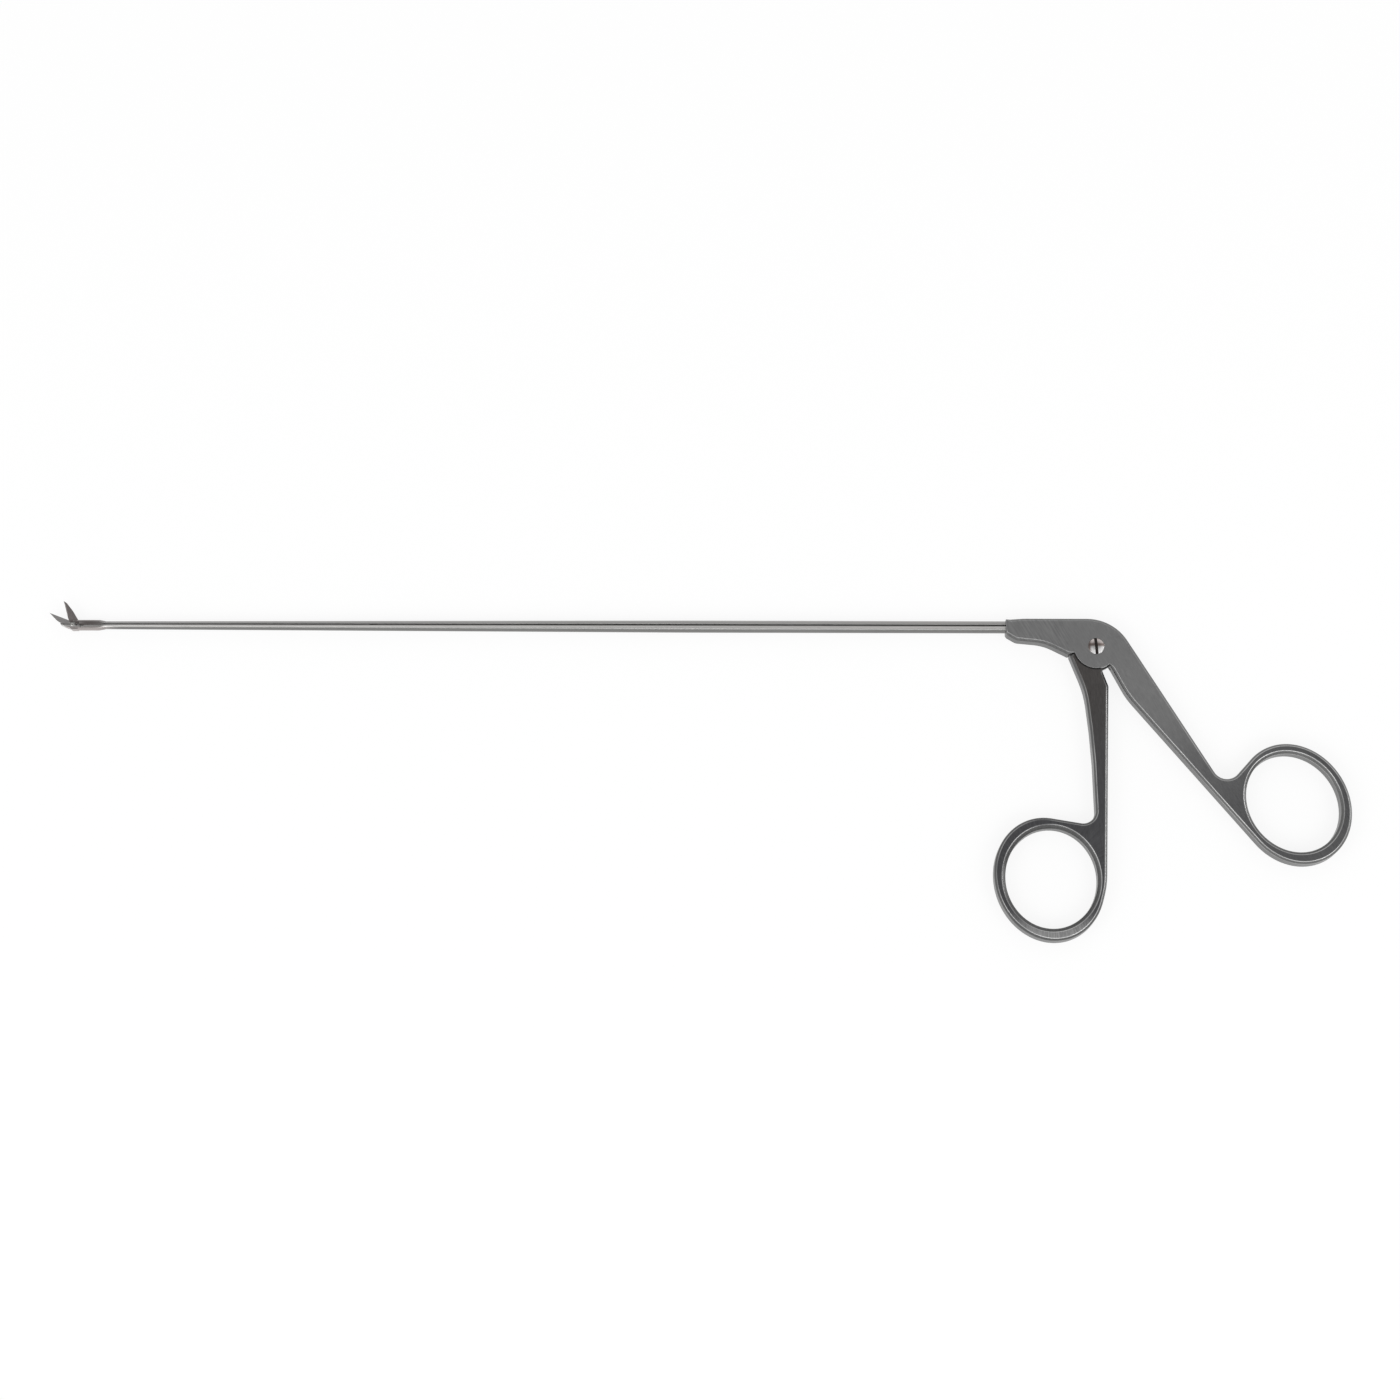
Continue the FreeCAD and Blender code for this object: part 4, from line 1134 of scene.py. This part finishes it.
looks = {
    "bodySteel": {
        **plainSteel, "angle": -60.0, "strokeWidth": 0.42,
        "strokeZone": (-4.0, -9.0), "strokeZoneTint": 0.8,
        "zones": [
            # painted shade: the body darker towards the ring
            ("fromScrew", 16.0, 56.0, (0.11, 0.11, 0.114), (0.21, 0.21, 0.212)),
            ("fromMiddle", 2.29, 2.2, (0.12, 0.12, 0.12), (0.2, 0.2, 0.198)),
            ("fromMiddle", 1.75, 1.6, (0.075, 0.075, 0.075), (0.13, 0.13, 0.129)),
        ],
        "ring": (46.5, -38.3), "ringReach": 15.5, "ringTint": 0.25, "edgeWearAndHighlightZone": (14.0, 44.0),
    },
    "frontHandleSteel": {
        **plainSteel, "angle": -86.0, "dark": (0.08, 0.073, 0.07), "light": (0.155, 0.147, 0.143),
        "zones": [
            ("fromScrew", 6.0, 40.0, (0.075, 0.075, 0.08), (0.15, 0.15, 0.156)),
            # painted reflection: the ring's face much lighter towards its bottom
            ("y", -63.5, -71.0, (0.2, 0.2, 0.2), (0.68, 0.68, 0.68)),
            ("fromMiddle", 2.29, 2.2, (0.09, 0.09, 0.09), (0.16, 0.16, 0.16)),
            ("fromMiddle", 1.75, 1.6, (0.07, 0.07, 0.07), (0.13, 0.13, 0.13)),
        ],
        "ring": (-12.0, -56.7), "ringReach": 15.5, "ringTint": 0.45,
        "edgeWearAndHighlightShare": 0.45, "edgeWearAndHighlightZone": (7.0, 14.0),
        # painted shade, near black, where the heel lies against the body and on the tongue in the
        # slot
        "paintedShade": ("fromScrew", 5.9, 5.7, (0.008, 0.007, 0.007)),
    },
    "slidingBarSteel": {
        **barSteel, "dark": (0.28, 0.276, 0.27), "light": (0.4, 0.395, 0.387),
        "zones": [("fromScrew", 236.5, 243.5, (0.13, 0.114, 0.11), (0.23, 0.206, 0.2))],
    },
    "shaftSteel": {
        **barSteel, "dark": (0.17, 0.168, 0.165), "light": (0.27, 0.268, 0.262),
        "zones": [
            ("fromScrew", 236.0, 242.0, (0.33, 0.3, 0.29), (0.5, 0.46, 0.45)),
            # painted highlight: a light band along the lower bar's edge just below the seam
            ("fromSeam", 0.75, 0.4, (0.42, 0.41, 0.4), (0.6, 0.59, 0.575)),
        ],
        # painted shade in the seam between the two bars
        "paintedShade": ("fromSeam", 0.16, 0.08, (0.02, 0.018, 0.017)),
    },
    "bladeSteel": {
        **smallSteel, "angle": 60.0, "dark": (0.17, 0.152, 0.147), "light": (0.31, 0.282, 0.275),
    },
    "fixedBladeSteel": {
        **smallSteel, "angle": 20.0, "dark": (0.26, 0.25, 0.247), "light": (0.46, 0.45, 0.445),
    },
    "screwSteel": {
        **plainSteel, "angle": 4.0, "strokeWidth": 0.9, "grainWidth": 0.06, "length": 5.0,
        "cloudSize": 1.6, "strokeTint": 0.5, "grainTint": 0.1, "cloudTint": 0.4,
        "dark": (0.36, 0.31, 0.29), "light": (0.65, 0.6, 0.59),
        "roughness": 0.13, "roughSpread": 0.04,
        "zones": [
            # painted reflections on the dome: a brown band across the middle, a white highlight
            # over the lower side and a dark reflection at the left
            ("y", 0.85, 0.5, (0.19, 0.15, 0.135), (0.42, 0.35, 0.33)),
            ("y", 0.25, -0.3, (0.62, 0.6, 0.59), (1.0, 1.0, 1.0)),
            ("x", -0.9, -1.7, (0.06, 0.045, 0.04), (0.2, 0.16, 0.15)),
        ],
        # painted shade in the screw's slot and round the head's side below the dome
        "paintedShade": ("z", 4.58, 4.44, (0.02, 0.014, 0.012)),
        "edgeWearAndHighlightColour": (0.75, 0.73, 0.72), "edgeRoughness": 0.13, "edgeWearAndHighlightShare": 0.3,
        "strokeDepth": 0.0003, "grainDepth": 0.0003,
        "nickShare": 0.2, "nickSize": 0.4, "nickDepth": 0.002,
    },
    "pinSteel": {
        **smallSteel, "angle": 20.0, "length": 3.0, "cloudSize": 1.5, "dark": (0.3, 0.29, 0.28),
        "light": (0.5, 0.49, 0.47), "roughness": 0.24, "edgeWearAndHighlightShare": 0.2, "strokeDepth": 0.001,
        "grainDepth": 0.001, "nickShare": 0.0, "nickDepth": 0.0,
    },
}
steels = {name: steel(name, look) for name, look in looks.items()}
print("materials made")


# Each new piece with its maker, material, body, record slot and the CAD node that it stands for.
newPieces = [
    (makeRearHandle, "bodySteel", "frame", "body_steel", "rear_handle"),
    (makeFrontHandle, "frontHandleSteel", "finger_lever", "front_handle_steel", "front_handle"),
    (makeScrew, "screwSteel", "frame", "screw_steel", "pivot_screw"),
    (makeUpperShaft, "slidingBarSteel", "sliding_bar", "shaft_steel", "upper_shaft"),
    (makeLowerShaft, "shaftSteel", "frame", "shaft_steel", "lower_shaft"),
    (makeFixedBlade, "fixedBladeSteel", "frame", "blade_steel", "fixed_blade"),
    (makeMovingBlade, "bladeSteel", "cutting_blade", "blade_steel", "moving_blade"),
    (makeBladePin, "pinSteel", "frame", "pin_steel", "blade_pivot_pin"),
]
replaced = set()
for maker, steelName, body, recordSlot, node in newPieces:
    piece = maker()
    piece.data.materials.clear()
    piece.data.materials.append(steels[steelName])
    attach(piece, body)
    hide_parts(node)
    replaced.add(node)
    print("made", piece.name, len(piece.data.polygons), "faces")

for name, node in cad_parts.items():
    if name not in replaced:
        node.data.materials.clear()
        node.data.materials.append(steels["pinSteel"])
print("pins dressed")


# Studio

studio = {
    "floorColour": (0.93, 0.93, 0.93),
    "floorRoughness": 0.9,
    "floorSpecular": 0.1,
    "floorHalfSize": 4.0,
    "floorDrop": 0.02,
    "floorGlow": 0.86,
    "dark": 0.38,
    "bright": 0.85,
    "patchCentre": (0.07, 0.24, 0),
    "patchStretch": (0.75, 1, 0),
    "patchStart": 0.2,
    "patchEnd": 0.42,
    "lampAim": (-0.09, -0.02, 0.0),
    "lamps": {
        "leftLamp": ((-0.75, -0.42, 0.72), (0.5, 0.5), 2.0),
        "rightLamp": ((0.62, -0.48, 0.72), (0.5, 0.5), 2.0),
        "frontLamp": ((-0.06, -0.9, 0.72), (0.45, 0.45), 1.5),
        "sideLamp": ((0.8, 0.12, 0.08), (0.36, 0.12), 0.9),
    },
}


# Pale floor: lit like paper, and partly glowing white for camera and mirror rays, so that it stays
# white while the object's shadow still shows.
def makeFloor():
    half = studio["floorHalfSize"]
    level = -studio["floorDrop"] * millimetre
    corners = [
        (-half, -half, level), (half, -half, level), (half, half, level), (-half, half, level),
    ]
    mesh = bpy.data.meshes.new("floor")
    mesh.from_pydata(corners, [], [(0, 1, 2, 3)])
    material = bpy.data.materials.new("floorPaper")
    material.use_nodes = True
    tree = material.node_tree
    shader = tree.nodes["Principled BSDF"]
    shader.inputs["Base Color"].default_value = (*studio["floorColour"], 1)
    shader.inputs["Roughness"].default_value = studio["floorRoughness"]
    shader.inputs["Specular IOR Level"].default_value = studio["floorSpecular"]
    glow = addNode(tree, "ShaderNodeEmission")
    path = addNode(tree, "ShaderNodeLightPath").outputs
    seen = calc(tree, "MAXIMUM", path["Is Camera Ray"], path["Is Glossy Ray"])
    seen = calc(tree, "MAXIMUM", seen, path["Is Transmission Ray"])
    mix = addNode(tree, "ShaderNodeMixShader")
    feed(tree, mix.inputs[0], calc(tree, "MULTIPLY", seen, studio["floorGlow"]))
    feed(tree, mix.inputs[1], shader.outputs[0])
    feed(tree, mix.inputs[2], glow.outputs[0])
    feed(tree, tree.nodes["Material Output"].inputs["Surface"], mix.outputs[0])
    mesh.materials.append(material)
    linked("floor", mesh)


# World: white all round, with a grey patch overhead that flat faces mirror. The patch is an oval
# in the X and Y of the direction, with a soft edge.
def makeWorld():
    world = bpy.data.worlds.new("studio")
    bpy.context.scene.world = world
    world.use_nodes = True
    tree = world.node_tree
    direction = addNode(tree, "ShaderNodeTexCoord").outputs["Generated"]
    away = calcVector(tree, "SUBTRACT", direction, studio["patchCentre"])
    away = calcVector(tree, "LENGTH", calcVector(tree, "MULTIPLY", away, studio["patchStretch"]))
    outside = fade(tree, away, studio["patchStart"], studio["patchEnd"])
    brighter = studio["bright"] - studio["dark"]
    strength = calc(tree, "MULTIPLY_ADD", outside, brighter, studio["dark"])
    background = tree.nodes["Background"]
    feed(tree, background.inputs["Strength"], strength)
    background.inputs["Color"].default_value = (1, 1, 1, 1)


# Flat soft lamp, of a width and a height, that points at the middle of the part.
def makeLamp(name, place, size, power):
    light = bpy.data.lights.new(name, "AREA")
    light.shape = "RECTANGLE"
    light.size, light.size_y = size
    light.energy = power
    lamp = linked(name, light)
    lamp.location = place
    aim = Vector(studio["lampAim"]) - Vector(place)
    lamp.rotation_euler = aim.to_track_quat("-Z", "Y").to_euler()


# The photograph's angle, found from the outline and the side walls that it shows.
view = {
    "place": (-0.095045, -0.190492, 0.816179),
    "target": (-0.095483, -0.013038, 0.0023),
    "roll": 0.1413,
    "focalPixels": 3457.95,
    "pictureWidth": 1400,
    "sensorWidth": 36.0,
    "clipStart": 0.01,
}


# Camera: its place, the point that it looks at and its slight roll give the three axes.
def makeCamera():
    roll = math.radians(view["roll"])
    place = Vector(view["place"])
    forward = (Vector(view["target"]) - place).normalized()
    right = Vector((math.cos(roll), math.sin(roll), 0))
    up = right.cross(forward).normalized()
    right = forward.cross(up).normalized()
    data = bpy.data.cameras.new("camera")
    data.sensor_width = view["sensorWidth"]
    data.lens = view["focalPixels"] * view["sensorWidth"] / view["pictureWidth"]
    data.clip_start = view["clipStart"]
    camera = linked("camera", data)
    turned = Matrix((right, up, -forward)).transposed().to_4x4()
    camera.matrix_world = Matrix.Translation(place) @ turned
    bpy.context.scene.camera = camera


makeFloor()
makeWorld()
for name, lamp in studio["lamps"].items():
    makeLamp(name, *lamp)
makeCamera()
bpy.context.scene.view_settings.view_transform = "Standard"
print("studio lit")
